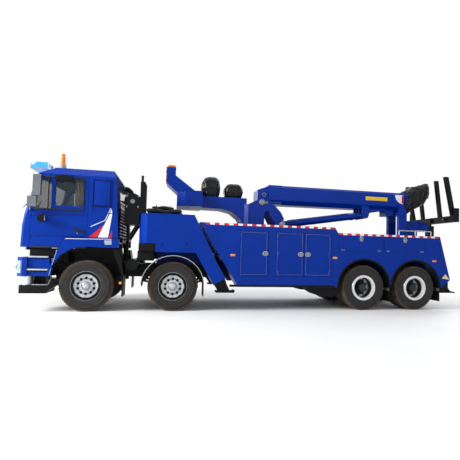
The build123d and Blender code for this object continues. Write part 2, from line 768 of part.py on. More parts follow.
for side, sign in sides:
    body_y = (sign * body_inner, sign * half_width)
    skin_y = (sign * (half_width - door_thick - fit_gap), sign * (half_width + overrun))
    with BuildPart() as locker_body:
        side_profile(body_points(), body_y)
        for x in axle_x[2:]:
            arch_y = (sign * (body_inner - overrun), sign * (half_width + overrun))
            rod_across(x, wheel_z, arch_radius, arch_y, mode=Mode.SUBTRACT)
        for front, rear, hinge_end in locker_doors:
            rebate_z = (door_z[0] - door_gap, door_z[1] + door_gap)
            block((at(front) - door_gap, at(rear) + door_gap), skin_y, rebate_z, mode=Mode.SUBTRACT)
            pocket_x = (at(front) + pocket_inset, at(rear) - pocket_inset)
            pocket_y = (sign * (half_width - pocket_depth), sign * half_width)
            pocket_z = (door_z[0] + pocket_inset, door_z[1] - pocket_inset)
            block(pocket_x, pocket_y, pocket_z, mode=Mode.SUBTRACT)
        for front, rear, hinge_end in locker_doors:
            hinge_s = front if hinge_end == "front" else rear
            for z in locker_hinges:
                barrel = hinge_barrel + fit_gap
                rod_upright(at(hinge_s), sign * half_width, barrel, z, mode=Mode.SUBTRACT)
        leg_x = (
            at(rear_leg_s) - rear_leg_half - rear_leg_gap,
            at(rear_leg_s) + rear_leg_half + rear_leg_gap,
        )
        leg_y = (
            sign * (rear_leg_y - rear_leg_wide - rear_leg_gap),
            sign * (rear_leg_y + rear_leg_wide + rear_leg_gap),
        )
        leg_room = (body_bottom - overrun, rear_leg_top + rear_leg_gap)
        block(leg_x, leg_y, leg_room, mode=Mode.SUBTRACT)
        for front, rear in flap_spans:
            groove_y = (sign * (half_width - groove), sign * (half_width + overrun))
            for x in (at(front), at(rear)):
                block((x - groove / 2, x + groove / 2), groove_y, flap_z, mode=Mode.SUBTRACT)
            for z in flap_z:
                block((at(front), at(rear)), groove_y, (z - groove / 2, z + groove / 2), mode=Mode.SUBTRACT)
    save(locker_body, f"locker_body_{side}")

    for number, (front, rear, hinge_end) in enumerate(locker_doors, start=1):
        leaf_y = (sign * (half_width - door_thick), sign * half_width)
        with BuildPart() as locker_door:
            block((at(front), at(rear)), leaf_y, door_z)
            pan_y = (sign * (half_width - door_thick - overrun), sign * (half_width - door_thick / 2))
            pan_x = (at(front) + pocket_inset * 2, at(rear) - pocket_inset * 2)
            pan_z = (door_z[0] + pocket_inset * 2, door_z[1] - pocket_inset * 2)
            block(pan_x, pan_y, pan_z, mode=Mode.SUBTRACT)
            hinge_s = front if hinge_end == "front" else rear
            for z in locker_hinges:
                barrel_z = (z[0] + fit_gap, z[1] - fit_gap)
                rod_upright(at(hinge_s), sign * half_width, hinge_barrel, barrel_z)
        save(locker_door, f"locker_door_{number}_{side}")

# Front box across the truck with bevelled front corners, and the slanted leg housings

box_front = 1040
box_step = 1400
box_low = 1300
box_step_low = 1490
box_rear_top = 2230
box_rear_low = 2660
box_bevel = 170
housing_length = 820
housing_width = 310
housing_angle = 59.8
housing_y = (960, half_width - fit_gap)
housing_front_s = 2280
housing_wall = 20
housing_slope = math.radians(housing_angle)
slide_dir = (math.cos(housing_slope), -math.sin(housing_slope))
slide_side = (math.sin(housing_slope), math.cos(housing_slope))


def along_leg(start, out, across):
    """A place in the side view, measured down the leg's slope and square to it."""
    x = start[0] + out * slide_dir[0] + across * slide_side[0]
    z = start[1] + out * slide_dir[1] + across * slide_side[1]
    return (x, z)


leg_top = (at(housing_front_s), box_low)

with BuildPart() as front_box:
    box_points = (
        (at(box_front), box_top),
        (at(box_front), box_step_low),
        (at(box_step), box_step_low),
        (at(box_step), box_low),
        (at(box_rear_low), box_low),
        (at(box_rear_top), box_top),
    )
    side_profile(box_points, (-half_width, half_width))
    # Seat of the snorkel in the box's top
    seat_x = (at(box_front) - overrun, at(snorkel_s[1]) + run_gap)
    seat_y = (-half_width - overrun, snorkel_y[1] + run_gap)
    block(seat_x, seat_y, (box_top - snorkel_seat, box_top + overrun), mode=Mode.SUBTRACT)
    for side, sign in sides:
        bevel_points = (
            (at(box_front) - overrun, sign * (half_width - box_bevel - overrun)),
            (at(box_front) + box_bevel + overrun, sign * (half_width + overrun)),
            (at(box_front) - overrun, sign * (half_width + overrun)),
        )
        plan_profile(bevel_points, (box_low - overrun, box_top + overrun), mode=Mode.SUBTRACT)
        stand_y = (sign * (rail_outer - rail_flange), sign * (rail_outer + housing_wall))
        block((at(box_step), at(box_rear_low)), stand_y, (frame_top, box_low + overrun))
        housing_points = (
            along_leg(leg_top, -overrun * 2, 0),
            along_leg(leg_top, housing_length, 0),
            along_leg(leg_top, housing_length, housing_width),
            along_leg(leg_top, -overrun * 2, housing_width),
        )
        span_y = (sign * housing_y[0], sign * housing_y[1])
        side_profile(housing_points, span_y)
        bore_y = (sign * (housing_y[0] + housing_wall), sign * (housing_y[1] - housing_wall))
        bore_points = (
            along_leg(leg_top, housing_wall * 3, housing_wall),
            along_leg(leg_top, housing_length + overrun, housing_wall),
            along_leg(leg_top, housing_length + overrun, housing_width - housing_wall),
            along_leg(leg_top, housing_wall * 3, housing_width - housing_wall),
        )
        side_profile(bore_points, bore_y, mode=Mode.SUBTRACT)
save(front_box, "front_box")

leg_clear = 2
foot_s = (2750, 3160)
foot_z = (420, 450)
foot_half = 170
leg_y_mid = (housing_y[0] + housing_y[1]) / 2
leg_bottom_out = housing_length + 90

for side, sign in sides:
    leg_inset = housing_wall + leg_clear
    leg_y = (sign * (housing_y[0] + leg_inset), sign * (housing_y[1] - leg_inset))
    low_edge = housing_wall + leg_clear
    high_edge = housing_width - housing_wall - leg_clear
    with BuildPart() as leg:
        leg_points = (
            along_leg(leg_top, housing_wall * 4, low_edge),
            along_leg(leg_top, leg_bottom_out, low_edge),
            along_leg(leg_top, leg_bottom_out, high_edge),
            along_leg(leg_top, housing_wall * 4, high_edge),
        )
        side_profile(leg_points, leg_y)
        ankle_points = (
            along_leg(leg_top, housing_length + leg_clear, low_edge),
            along_leg(leg_top, housing_length + leg_clear, high_edge),
            (at(foot_s[1]) - foot_half / 2, foot_z[1]),
            (at(foot_s[0]) + foot_half / 3, foot_z[1]),
        )
        side_profile(ankle_points, (sign * (leg_y_mid - foot_half / 2), sign * (leg_y_mid + foot_half / 2)))
        foot_y = (sign * (leg_y_mid - foot_half), sign * (leg_y_mid + foot_half))
        block((at(foot_s[0]), at(foot_s[1])), foot_y, foot_z)
        lip_points = (
            (at(foot_s[1]) - overrun, foot_z[0]),
            (at(foot_s[1]), foot_z[0]),
            (at(foot_s[1]) + overrun, foot_z[1] + overrun),
            (at(foot_s[1]), foot_z[1] + overrun),
        )
        side_profile(lip_points, foot_y)
    save(leg, f"leg_front_{side}")

# Slew deck: floor between the lockers, pedestal and the fixed ring

slew_s = 4050
deck_z = (1290, 1302)
deck_s = (2760, 8150)
deck_half = body_inner
pedestal_radius = 560
pedestal_top = 1640
ring_top = 1740
rib_wall = 20
# Distances behind the first axle
rib_places = (2800, 3450, 4650, 5600, 6600, 7600, 8120)

with BuildPart() as slew_deck:
    block((at(deck_s[0]), at(deck_s[1])), (-deck_half, deck_half), deck_z)
    rod_upright(at(slew_s), 0, pedestal_radius, (deck_z[0], pedestal_top))
    rod_upright(at(slew_s), 0, pedestal_radius - rail_flange, (pedestal_top, ring_top))
    for place in rib_places:
        block((at(place) - rib_wall, at(place) + rib_wall), (-rail_outer, rail_outer), (frame_top, deck_z[0]))
save(slew_deck, "slew_deck")

# Rear frame: sill, leg sleeves, the boom's rest and the underlift's mast and hinge ears

mast_s = (8150, 8480)
mast_half = 250
mast_top = 2330
mast_wall = 16
saddle_s = (8480, 8900)
saddle_half = 170
saddle_z = (2080, 2310)
sill_s = (8500, 8700)
sill_half = 640
sill_z = (700, 960)
splice_s = 8160
splice_wall = 16
rest_s = (7860, 8100)
rest_y = (215, 335)
rest_top = 2560
lift_hinge_s = 9050
lift_hinge_z = 720
lift_ear_y = (106, 146)
lift_ear_radius = 110
lift_pin_radius = 35

with BuildPart() as rear_frame:
    block((at(mast_s[0]), at(mast_s[1])), (-mast_half, mast_half), (frame_bottom, mast_top))
    block(
        (at(mast_s[0]) + mast_wall, at(mast_s[1]) - mast_wall),
        (-mast_half + mast_wall, mast_half - mast_wall),
        (frame_bottom - overrun, mast_top - mast_wall),
        mode=Mode.SUBTRACT,
    )
    saddle_points = (
        (at(saddle_s[0]), saddle_z[0]),
        (at(saddle_s[1]), saddle_z[0]),
        (at(saddle_s[1]), (saddle_z[0] + saddle_z[1]) / 2),
        (at(saddle_s[1]) - overrun * 3, saddle_z[1]),
        (at(saddle_s[0]), saddle_z[1]),
    )
    side_profile(saddle_points, (-saddle_half, saddle_half))
    block((at(sill_s[0]), at(sill_s[1])), (-sill_half, sill_half), sill_z)
    web_x = (at(mast_s[1]) - mast_wall, at(sill_s[0]))
    block(web_x, (-mast_half, mast_half), (sill_z[0], sill_z[1] + mast_half))
    for side, sign in sides:
        ear_y = (sign * lift_ear_y[0], sign * lift_ear_y[1])
        ear_points = (
            (at(sill_s[1]) - overrun, sill_z[1]),
            (at(sill_s[1]) - overrun, lift_hinge_z - lift_ear_radius),
            (at(lift_hinge_s), lift_hinge_z - lift_ear_radius),
            (at(lift_hinge_s), lift_hinge_z + lift_ear_radius),
        )
        side_profile(ear_points, ear_y)
        rod_across(at(lift_hinge_s), lift_hinge_z, lift_ear_radius, ear_y)
        splice_y = (sign * rail_outer, sign * (rail_outer + splice_wall))
        block((at(splice_s), at(sill_s[0])), splice_y, (sill_z[0], frame_top - rail_flange))
    rod_across(at(lift_hinge_s), lift_hinge_z, lift_pin_radius, (-lift_ear_y[0], lift_ear_y[0]))
    for side, sign in sides:
        post_y = (sign * rest_y[0], sign * rest_y[1])
        block((at(rest_s[0]), at(rest_s[1])), post_y, (deck_z[1], rest_top))
    block((at(rest_s[0]), at(rest_s[1])), (-rest_y[0], rest_y[0]), (rest_top - rail_flange, rest_top))
    tie_x = (at(rest_s[1]) - overrun, at(mast_s[0]))
    block(tie_x, (-mast_half, mast_half), (deck_z[1], deck_z[1] + rail_flange))
    block((at(rest_s[0]), at(rest_s[1])), (-rest_y[1], rest_y[1]), (deck_z[1], deck_z[1] + rail_flange))
save(rear_frame, "rear_frame")

rear_foot_s = (8490, 8900)
rear_foot_z = (430, 460)
rear_foot_half = 150
shoe_top = 530

for side, sign in sides:
    with BuildPart() as leg:
        stem_x = (at(rear_leg_s) - rear_leg_half, at(rear_leg_s) + rear_leg_half)
        stem_y = (sign * (rear_leg_y - rear_leg_wide), sign * (rear_leg_y + rear_leg_wide))
        block(stem_x, stem_y, (rear_foot_z[0], rear_leg_top))
        foot_y = (sign * (rear_leg_y - rear_foot_half), sign * (rear_leg_y + rear_foot_half))
        block((at(rear_foot_s[0]), at(rear_foot_s[1])), foot_y, rear_foot_z)
        shoe_points = (
            (at(rear_foot_s[0]) + overrun, rear_foot_z[1]),
            (at(rear_foot_s[1]) - overrun, rear_foot_z[1]),
            (at(rear_leg_s) + rear_leg_half, shoe_top),
            (at(rear_leg_s) - rear_leg_half, shoe_top),
        )
        shoe_y = (sign * (rear_leg_y - rear_leg_wide), sign * (rear_leg_y + rear_leg_wide))
        side_profile(shoe_points, shoe_y)
    save(leg, f"leg_rear_{side}")

# Turntable: slewing base, two side plates, tail beam with its arch, counterweight and tail mast

table_radius = 600
table_z = (ring_top + fit_gap, 1800)
cheek_y = (370, 400)
cheek_front = 3600
pivot_s = 3960
pivot_z = 2620
pivot_pin_radius = 45
boss_radius = 95
beam_half = 330
beam_z = (2420, 2710)
beam_s = (2430, 3550)
beam_wall = 20
weight_s = (1830, 2440)
weight_half = 550
weight_z = (2420, 2770)
weight_bevel = 200
tail_half = 300
ram_foot_s = 4500
ram_foot_z = 2075
ram_y = 170
ram_foot_pin = 40
ram_ear_wall = 25
ram_ear_radius = 75
# Columns: behind the first axle, height; the cheek's outline from its front foot round the top
cheek_points = (
    (3600, 1790),
    (3600, 2560),
    (3850, 2690),
    (4140, 2690),
    (4280, 2550),
    (4450, 2380),
    (4530, 2230),
    (4500, 2000),
    (4480, 1790),
)
cheek_window = ((4020, 2060), (4020, 2340), (4070, 2410), (4140, 2400), (4330, 2060))
# Underside of the tail beam, from the arch's foot up to the level stretch
arch_curve = ((3560, 1900), (3420, 2190), (3210, 2350), (2950, 2410))
# Tail mast's outline, from its foot on the weight up to the lamp board and back
mast_outline = (
    (2440, 2770),
    (2440, 2840),
    (2260, 2840),
    (1785, 3190),
    (1790, 3390),
    (1560, 3390),
    (1570, 3000),
    (1830, 2770),
)

with BuildPart() as turntable:
    rod_upright(at(slew_s), 0, table_radius, table_z)
    for side, sign in sides:
        plate_y = (sign * cheek_y[0], sign * cheek_y[1])
        side_profile([(at(s), z) for s, z in cheek_points], plate_y)
        cut_y = (sign * (cheek_y[0] - overrun), sign * (cheek_y[1] + overrun))
        window = [(at(s), z) for s, z in cheek_window]
        side_profile(window, cut_y, mode=Mode.SUBTRACT)
        pin_hole = pivot_pin_radius + fit_gap
        rod_across(at(pivot_s), pivot_z, pin_hole, cut_y, mode=Mode.SUBTRACT)
    beam_points = (
        [(at(beam_s[1]) + beam_wall, table_z[0]), (at(beam_s[1]) - beam_wall * 3, table_z[0])]
        + [(at(s) - beam_wall, z) for s, z in arch_curve]
        + [(at(weight_s[1]) - overrun, beam_z[0]), (at(weight_s[1]) - overrun, beam_z[1])]
        + [(at(beam_s[1]) + beam_wall, beam_z[1])]
    )
    side_profile(beam_points, (-beam_half, beam_half))
    for side, sign in sides:
        wing_points = (
            (at(beam_s[1]) - beam_wall * 2, sign * beam_half),
            (at(cheek_front), sign * cheek_y[1]),
            (at(cheek_front) + ram_ear_wall, sign * cheek_y[1]),
            (at(cheek_front) + ram_ear_wall, sign * cheek_y[0]),
            (at(beam_s[1]), sign * (beam_half - beam_wall)),
        )
        plan_profile(wing_points, (table_z[0], cheek_points[1][1]))
    weight_points = (
        (at(weight_s[0]), -weight_half + weight_bevel),
        (at(weight_s[0] + weight_bevel), -weight_half),
        (at(weight_s[1]), -weight_half),
        (at(weight_s[1]), weight_half),
        (at(weight_s[0] + weight_bevel), weight_half),
        (at(weight_s[0]), weight_half - weight_bevel),
    )
    plan_profile(weight_points, weight_z)
    side_profile([(at(s), z) for s, z in mast_outline], (-tail_half, tail_half))
    for ear in (-1, 1):
        for face in (-1, 1):
            ear_mid = ear * ram_y + face * (ram_ear_radius + run_gap + ram_ear_wall / 2)
            ear_y = (ear_mid - ram_ear_wall / 2, ear_mid + ram_ear_wall / 2)
            ear_points = (
                (at(ram_foot_s) - ram_ear_radius, table_z[1] - overrun),
                (at(ram_foot_s) + ram_ear_radius, table_z[1] - overrun),
                (at(ram_foot_s) + ram_ear_radius, ram_foot_z),
                (at(ram_foot_s) - ram_ear_radius, ram_foot_z),
            )
            side_profile(ear_points, ear_y)
            rod_across(at(ram_foot_s), ram_foot_z, ram_ear_radius, ear_y)
    rod_across(at(ram_foot_s), ram_foot_z, ram_foot_pin, (-cheek_y[0], cheek_y[0]))
save(turntable, "turntable")

# Covers tied over the two winches on the tail beam

# Lump of a covered winch: shares of its length drawn in at each end, and of its rise
front_shares = (0.06, 0.1, 0.35)
rear_shares = (0.03, 0.08, 0.32)
rise_shares = (0.4, 0.45, 0.75, 0.8)
# Columns: front, rear, top, across at the foot
cover_table = ((2445, 2885, 3260, 300), (3020, 3490, 3110, 285))

with BuildPart() as winch_covers:
    for front, rear, top, half in cover_table:
        length = rear - front
        rise = top - beam_z[1]
        foot = beam_z[1] + fit_gap
        cover_points = (
            (at(front) + length * front_shares[0], foot),
            (at(front), foot + rise * rise_shares[1]),
            (at(front) + length * front_shares[1], foot + rise * rise_shares[3]),
            (at(front) + length * front_shares[2], top),
            (at(rear) - length * rear_shares[2], top),
            (at(rear) - length * rear_shares[1], foot + rise * rise_shares[2]),
            (at(rear), foot + rise * rise_shares[0]),
            (at(rear) - length * rear_shares[0], foot),
        )
        side_profile(cover_points, (-half, half))
save(winch_covers, "winch_covers")

# Boom: six-sided outer tube on its pivot, with the ram lugs and the rest brackets

boom_s = (4150, 8060)
boom_half = 300
boom_z = (2600, 3100)
boom_bevel_low = 110
boom_bevel_high = 60
boom_wall = 14
slide_gap = 2
heel_hole = (4014, 2833)
heel_hole_radius = 32
heel_points_table = (
    (3860, 2700),
    (3860, 2960),
    (4130, 3060),
    (4150, 3100),
    (4500, 3100),
    (4500, 2600),
    (4300, 2600),
    (4080, 2500),
    (3900, 2500),
)
lug_s = (6780, 6980)
eye_s = 6880
eye_z = 2440
lug_wall = 25
lug_web_rear = 7530
brace_s = (7540, 7790)
brace_z = 2450
rim_wall_s = 60
rim_out = 28
bracket_top = 2780


def boom_section(inset):
    half = boom_half - inset
    low = boom_z[0] + inset
    high = boom_z[1] - inset
    return (
        (-half, low + boom_bevel_low),
        (-half + boom_bevel_low, low),
        (half - boom_bevel_low, low),
        (half, low + boom_bevel_low),
        (half, high - boom_bevel_high),
        (half - boom_bevel_high, high),
        (-half + boom_bevel_high, high),
        (-half, high - boom_bevel_high),
    )


with BuildPart() as boom_base:
    cross_profile(boom_section(0), (at(boom_s[0]), at(boom_s[1])))
    cross_profile(boom_section(-rim_out), (at(boom_s[1]) - rim_wall_s, at(boom_s[1])))
    heel_half = boom_half - boom_bevel_low / 4
    side_profile([(at(s), z) for s, z in heel_points_table], (-heel_half, heel_half))
    rod_across(at(pivot_s), pivot_z, boss_radius, (-cheek_y[0] + run_gap, cheek_y[0] - run_gap))
    rod_across(at(pivot_s), pivot_z, pivot_pin_radius, (-cheek_y[1] - overrun, cheek_y[1] + overrun))
    for ear in (-1, 1):
        for face in (-1, 1):
            lug_mid = ear * ram_y + face * (ram_ear_radius + run_gap + lug_wall / 2)
            lug_y = (lug_mid - lug_wall / 2, lug_mid + lug_wall / 2)
            lug_points = (
                (at(lug_s[0]), boom_z[0] + boom_bevel_low),
                (at(lug_s[0]), eye_z),
                (at(lug_s[1]), eye_z),
                (at(lug_s[1]) + lug_wall, (eye_z + boom_z[0]) / 2),
                (at(lug_web_rear), boom_z[0]),
                (at(lug_web_rear), boom_z[0] + boom_wall),
                (at(lug_s[1]), boom_z[0] + boom_wall),
                (at(lug_s[1]), boom_z[0] + boom_bevel_low),
            )
            side_profile(lug_points, lug_y)
            rod_across(at(eye_s), eye_z, (lug_s[1] - lug_s[0]) / 2, lug_y)
    block((at(brace_s[0]), at(brace_s[1])), (-ram_y, ram_y), (brace_z, boom_z[0] + boom_wall))
    for side, sign in sides:
        pad_y = (sign * (boom_half - boom_wall), sign * (boom_half + rim_out))
        block((at(rest_s[0]), at(rest_s[1])), pad_y, (rest_top + fit_gap, bracket_top))
    rod_across(at(heel_hole[0]), heel_hole[1], heel_hole_radius, (-boom_half, boom_half), mode=Mode.SUBTRACT)
    bore_x = (at(boom_s[0] + boom_half), at(boom_s[1]) + overrun)
    cross_profile(boom_section(boom_wall), bore_x, mode=Mode.SUBTRACT)
save(boom_base, "boom_base")

# Inner boom with its end plates

inner_s = (4700, 8160)
tip_s = 8700
tip_half = 150
tip_z = (2820, 3180)
head_pin_radius = 40
head_pin_s = 8560
head_pin_z = 3010
head_slot_half = 90

with BuildPart() as boom_inner:
    cross_profile(boom_section(boom_wall + slide_gap), (at(inner_s[0]), at(inner_s[1])))
    cross_profile(
        boom_section(boom_wall * 2 + slide_gap),
        (at(inner_s[0]) - overrun, at(inner_s[1]) - boom_half),
        mode=Mode.SUBTRACT,
    )
    head_points = (
        (at(inner_s[1]) - overrun, tip_z[0] - boom_bevel_low),
        (at(head_pin_s), tip_z[0] - overrun),
        (at(tip_s), tip_z[0] + boom_bevel_low),
        (at(tip_s), tip_z[1] - boom_bevel_low),
        (at(head_pin_s) + overrun, tip_z[1]),
        (at(inner_s[1]) - overrun, boom_z[1] - boom_bevel_low),
    )
    side_profile(head_points, (-tip_half, tip_half))
    slot_x = (at(inner_s[1]) + boom_bevel_low, at(tip_s) + overrun)
    slot_z = (tip_z[0] - boom_half, tip_z[1] + overrun)
    block(slot_x, (-head_slot_half, head_slot_half), slot_z, mode=Mode.SUBTRACT)
    head_pin_y = (-tip_half - overrun, tip_half + overrun)
    rod_across(at(head_pin_s), head_pin_z, head_pin_radius, head_pin_y, mode=Mode.SUBTRACT)
save(boom_inner, "boom_inner")

# Cover tied over the boom's head, a closed shell round the head plates

cover_half = 285
# Columns: behind the first axle, height
cover_outline = (
    (8170, 2540),
    (8170, 3190),
    (8420, 3340),
    (8780, 3420),
    (8850, 3470),
    (8850, 2970),
    (8740, 2800),
    (8460, 2680),
    (8360, 2560),
)
cover_taper_half = 200

with BuildPart() as boom_head_cover:
    side_profile([(at(s), z) for s, z in cover_outline], (-cover_half, cover_half))
    for side, sign in sides:
        taper_points = (
            (at(cover_outline[2][0]), sign * (cover_half + overrun)),
            (at(cover_outline[2][0]), sign * cover_half),
            (at(cover_outline[4][0]) + overrun, sign * cover_taper_half),
            (at(cover_outline[4][0]) + overrun, sign * (cover_half + overrun)),
        )
        plan_profile(taper_points, (boom_z[0] - boom_half, cover_outline[4][1] + overrun), mode=Mode.SUBTRACT)
    cavity_points = (
        (at(cover_outline[0][0]) - overrun, tip_z[0] - boom_bevel_low - overrun),
        (at(head_pin_s), tip_z[0] - overrun * 2),
        (at(tip_s) + overrun, tip_z[0] + boom_bevel_low - overrun),
        (at(tip_s) + overrun, tip_z[1] - boom_bevel_low + overrun),
        (at(head_pin_s) + overrun, tip_z[1] + overrun),
        (at(cover_outline[0][0]) - overrun, boom_z[1] - boom_bevel_low + overrun * 3),
    )
    side_profile(cavity_points, (-tip_half - fit_gap, tip_half + fit_gap), mode=Mode.SUBTRACT)
save(boom_head_cover, "boom_head_cover")

# Lift rams, side by side under the boom

ram_radius = 80
ram_rod_radius = 48
ram_run = math.hypot(eye_s - ram_foot_s, eye_z - ram_foot_z)
ram_pitch = math.atan2(eye_z - ram_foot_z, eye_s - ram_foot_s)
ram_barrel_end = ram_run - 150
ram_eye_half = ram_ear_radius - 3
ram_eye_radius = 72
rod_clear = 1


def ram_plane(out, across):
    """A plane square to the ram's line, this far out from the foot pin."""
    origin = (
        at(ram_foot_s) + out * math.cos(ram_pitch),
        across,
        ram_foot_z + out * math.sin(ram_pitch),
    )
    return Plane(origin=origin, x_dir=(0, 1, 0), z_dir=(math.cos(ram_pitch), 0, math.sin(ram_pitch)))


with BuildPart() as lift_barrels:
    for ear in (-1, 1):
        eye_y = (ear * ram_y - ram_eye_half, ear * ram_y + ram_eye_half)
        rod_across(at(ram_foot_s), ram_foot_z, ram_eye_radius, eye_y)
        with BuildSketch(ram_plane(0, ear * ram_y)):
            Circle(ram_radius)
        extrude(amount=ram_barrel_end)
    for ear in (-1, 1):
        with BuildSketch(ram_plane(ram_eye_radius * 2, ear * ram_y)):
            Circle(ram_rod_radius + rod_clear)
        extrude(amount=ram_barrel_end, mode=Mode.SUBTRACT)
    foot_hole = ram_foot_pin + fit_gap
    foot_hole_y = (-cheek_y[1], cheek_y[1])
    rod_across(at(ram_foot_s), ram_foot_z, foot_hole, foot_hole_y, mode=Mode.SUBTRACT)
save(lift_barrels, "lift_barrels")

rod_start = ram_eye_radius * 3

with BuildPart() as lift_rods:
    for ear in (-1, 1):
        with BuildSketch(ram_plane(rod_start, ear * ram_y)):
            Circle(ram_rod_radius)
        extrude(amount=ram_run - rod_start)
        eye_y = (ear * ram_y - ram_eye_half, ear * ram_y + ram_eye_half)
        rod_across(at(eye_s), eye_z, ram_eye_radius, eye_y)
save(lift_rods, "lift_rods")

# Underlift: folding outer arm, sliding inner arm with the cross bar's pin, cross bar with forks

arm_half = 100
arm_wall = 12
arm_top = 1900
arm_slide_gap = 2
inner_arm_top = 2230
inner_arm_low = 900
head_z = (2210, 2450)
head_plate = 40
bar_s = (9060, 9210)
bar_half_y = 1000
bar_z = (2290, 2460)
bar_pin_z = (bar_z[0] + bar_z[1]) / 2
bar_pin_radius = 30
end_plate = 20
end_plate_z = (2290, 2660)
# Columns: across, foot and top behind the first axle, top height, thickness along, width across
fork_table = ((880, 9130, 8905, 3500, 110, 90), (385, 9110, 8975, 3480, 95, 90))
fork_pin_radius = 22

with BuildPart() as underlift_arm:
    arm_x = (at(lift_hinge_s) - arm_half, at(lift_hinge_s) + arm_half)
    rod_across(at(lift_hinge_s), lift_hinge_z, arm_half, (-arm_half, arm_half))
    block(arm_x, (-arm_half, arm_half), (lift_hinge_z, arm_top))
    bore_x = (arm_x[0] + arm_wall, arm_x[1] - arm_wall)
    block(
        bore_x,
        (-arm_half + arm_wall, arm_half - arm_wall),
        (inner_arm_low - arm_half / 2, arm_top + overrun),
        mode=Mode.SUBTRACT,
    )
    hinge_hole = lift_pin_radius + fit_gap
    hinge_hole_y = (-arm_half - overrun, arm_half + overrun)
    rod_across(at(lift_hinge_s), lift_hinge_z, hinge_hole, hinge_hole_y, mode=Mode.SUBTRACT)
save(underlift_arm, "underlift_arm")

with BuildPart() as underlift_slide:
    tube_half = arm_half - arm_wall - arm_slide_gap
    block(
        (at(lift_hinge_s) - tube_half, at(lift_hinge_s) + tube_half),
        (-tube_half, tube_half),
        (inner_arm_low, inner_arm_top),
    )
    plate_x = (at(bar_s[0]) - run_gap - head_plate, at(bar_s[0]) - run_gap)
    block(plate_x, (-tube_half, tube_half), (inner_arm_top - overrun, head_z[1]))
    rod_along(0, bar_pin_z, bar_pin_radius, (plate_x[1], at(bar_s[1]) + overrun))
save(underlift_slide, "underlift_slide")

with BuildPart() as crossbar:
    bar_hole_x = (at(bar_s[0]) - overrun, at(bar_s[1]) + overrun)
    block((at(bar_s[0]), at(bar_s[1])), (-bar_half_y, bar_half_y), bar_z)
    for side, sign in sides:
        plate_y = (sign * bar_half_y, sign * (bar_half_y - end_plate))
        block((at(bar_s[0]), at(bar_s[1]) + end_plate), plate_y, end_plate_z)
        for across, foot_at, top_at, top, thick, wide in fork_table:
            fork_points = (
                (at(foot_at) - thick / 2, bar_z[1] - overrun),
                (at(foot_at) + thick / 2, bar_z[1] - overrun),
                (at(top_at) + thick / 2, top),
                (at(top_at) - thick / 2, top),
            )
            fork_y = (sign * across - wide / 2, sign * across + wide / 2)
            side_profile(fork_points, fork_y)
        socket_mid = sign * (fork_table[0][0] - fork_table[0][5] - fork_pin_radius * 2)
        rod_along(socket_mid, bar_pin_z, fork_pin_radius, bar_hole_x, mode=Mode.SUBTRACT)
    rod_along(0, bar_pin_z, bar_pin_radius + fit_gap, bar_hole_x, mode=Mode.SUBTRACT)
save(crossbar, "crossbar")

# Cab: hollow shell, doors that follow the side, glass, seats, mirrors and roof lamps

cab_inset = 25
cab_half = half_width - cab_inset
cab_wall = 45
cab_round = 70
roof_shoulder_z = 2885
roof_inset = 150
nose_low = (-1300, 1340)
nose_mid = (-1285, 1800)
scuttle = (-1250, 2030)
screen_top = (-1040, 2870)
brow = (-700, 3045)
roof_rear = (470, 3045)
rear_top = (530, 2910)
rear_low = (620, cab_low_rear)
sill_rear = (-460, cab_low_rear)
sill_front = (-560, nose_low[1])
cab_front_corners = (nose_low, nose_mid, scuttle, screen_top, brow)
cab_corners = cab_front_corners + (roof_rear, rear_top, rear_low, sill_rear, sill_front)
door_front = -1120
door_shoulder = 2250
door_top = 2870
door_top_front = -950
door_rear = -15
door_low = nose_low[1]
door_panel = 45
window_round = 45
pane_thick = 6
pane_gap = 0.3
side_window = ((-660, 2225), (-660, 2815), (-95, 2815), (-95, 2225))
quarter_window = ((-1050, 2150), (-1050, 2275), (-915, 2800), (-735, 2800), (-735, 2150))
screen_half = 1080
screen_low_share = 0.07
screen_high_share = 0.94
rear_window_half = 620
rear_window_z = (2260, 2740)
sleeper_panel_s = (70, 520)
sleeper_panel_z = (2130, 2800)
sleeper_depth = 10
grille_half = 850
grille_slot = 46
# Heights of the slots in the front panel
grille_levels = (1480, 1570, 1660, 1750)
ear_drop_y = (rail_outer + fit_gap, rail_outer + hinge_ear)


def cab_face():
    outline([(at(s), z) for s, z in cab_corners])


def door_edge(gap):
    return (
        (at(door_front) - gap, door_low - overrun * 2),
        (at(door_front) - gap, door_shoulder),
        (at(door_top_front) - gap, door_top + gap),
        (at(door_rear) + gap, door_top + gap),
        (at(door_rear) + gap, door_low - overrun * 2),
    )


def window_sketch(points, y, trim):
    with BuildSketch(Plane.XZ.offset(-y)) as pane:
        outline([(at(s), z) for s, z in points])
        fillet(pane.vertices(), window_round)
        offset(amount=-trim, mode=Mode.REPLACE)
    return pane.sketch


screen_dir = ((screen_top[0] - scuttle[0]), (screen_top[1] - scuttle[1]))
screen_length = math.hypot(*screen_dir)
screen_up = (screen_dir[0] / screen_length, 0, screen_dir[1] / screen_length)
screen_out = (-screen_up[2], 0, screen_up[0])


def screen_plane(depth):
    """A plane in the windscreen's slope, this far inside the cab's skin, at the glass's centre."""
    middle = (screen_low_share + screen_high_share) / 2
    x = at(scuttle[0]) + screen_dir[0] * middle - screen_out[0] * depth
    z = scuttle[1] + screen_dir[1] * middle - screen_out[2] * depth
    return Plane(origin=(x, 0, z), x_dir=(0, 1, 0), z_dir=screen_out)


def screen_sketch(depth, trim):
    with BuildSketch(screen_plane(depth)) as pane:
        height = screen_length * (screen_high_share - screen_low_share)
        RectangleRounded(screen_half * 2 - trim * 2, height - trim * 2, window_round * 2)
    return pane.sketch


def rear_sketch(x, trim):
    with BuildSketch(Plane.YZ.offset(x)) as pane:
        with Locations((0, (rear_window_z[0] + rear_window_z[1]) / 2)):
            height = rear_window_z[1] - rear_window_z[0]
            RectangleRounded(rear_window_half * 2 - trim * 2, height - trim * 2, window_round)
    return pane.sketch


roof_rise = brow[1] - roof_shoulder_z
roof_run = math.hypot(roof_inset, roof_rise)


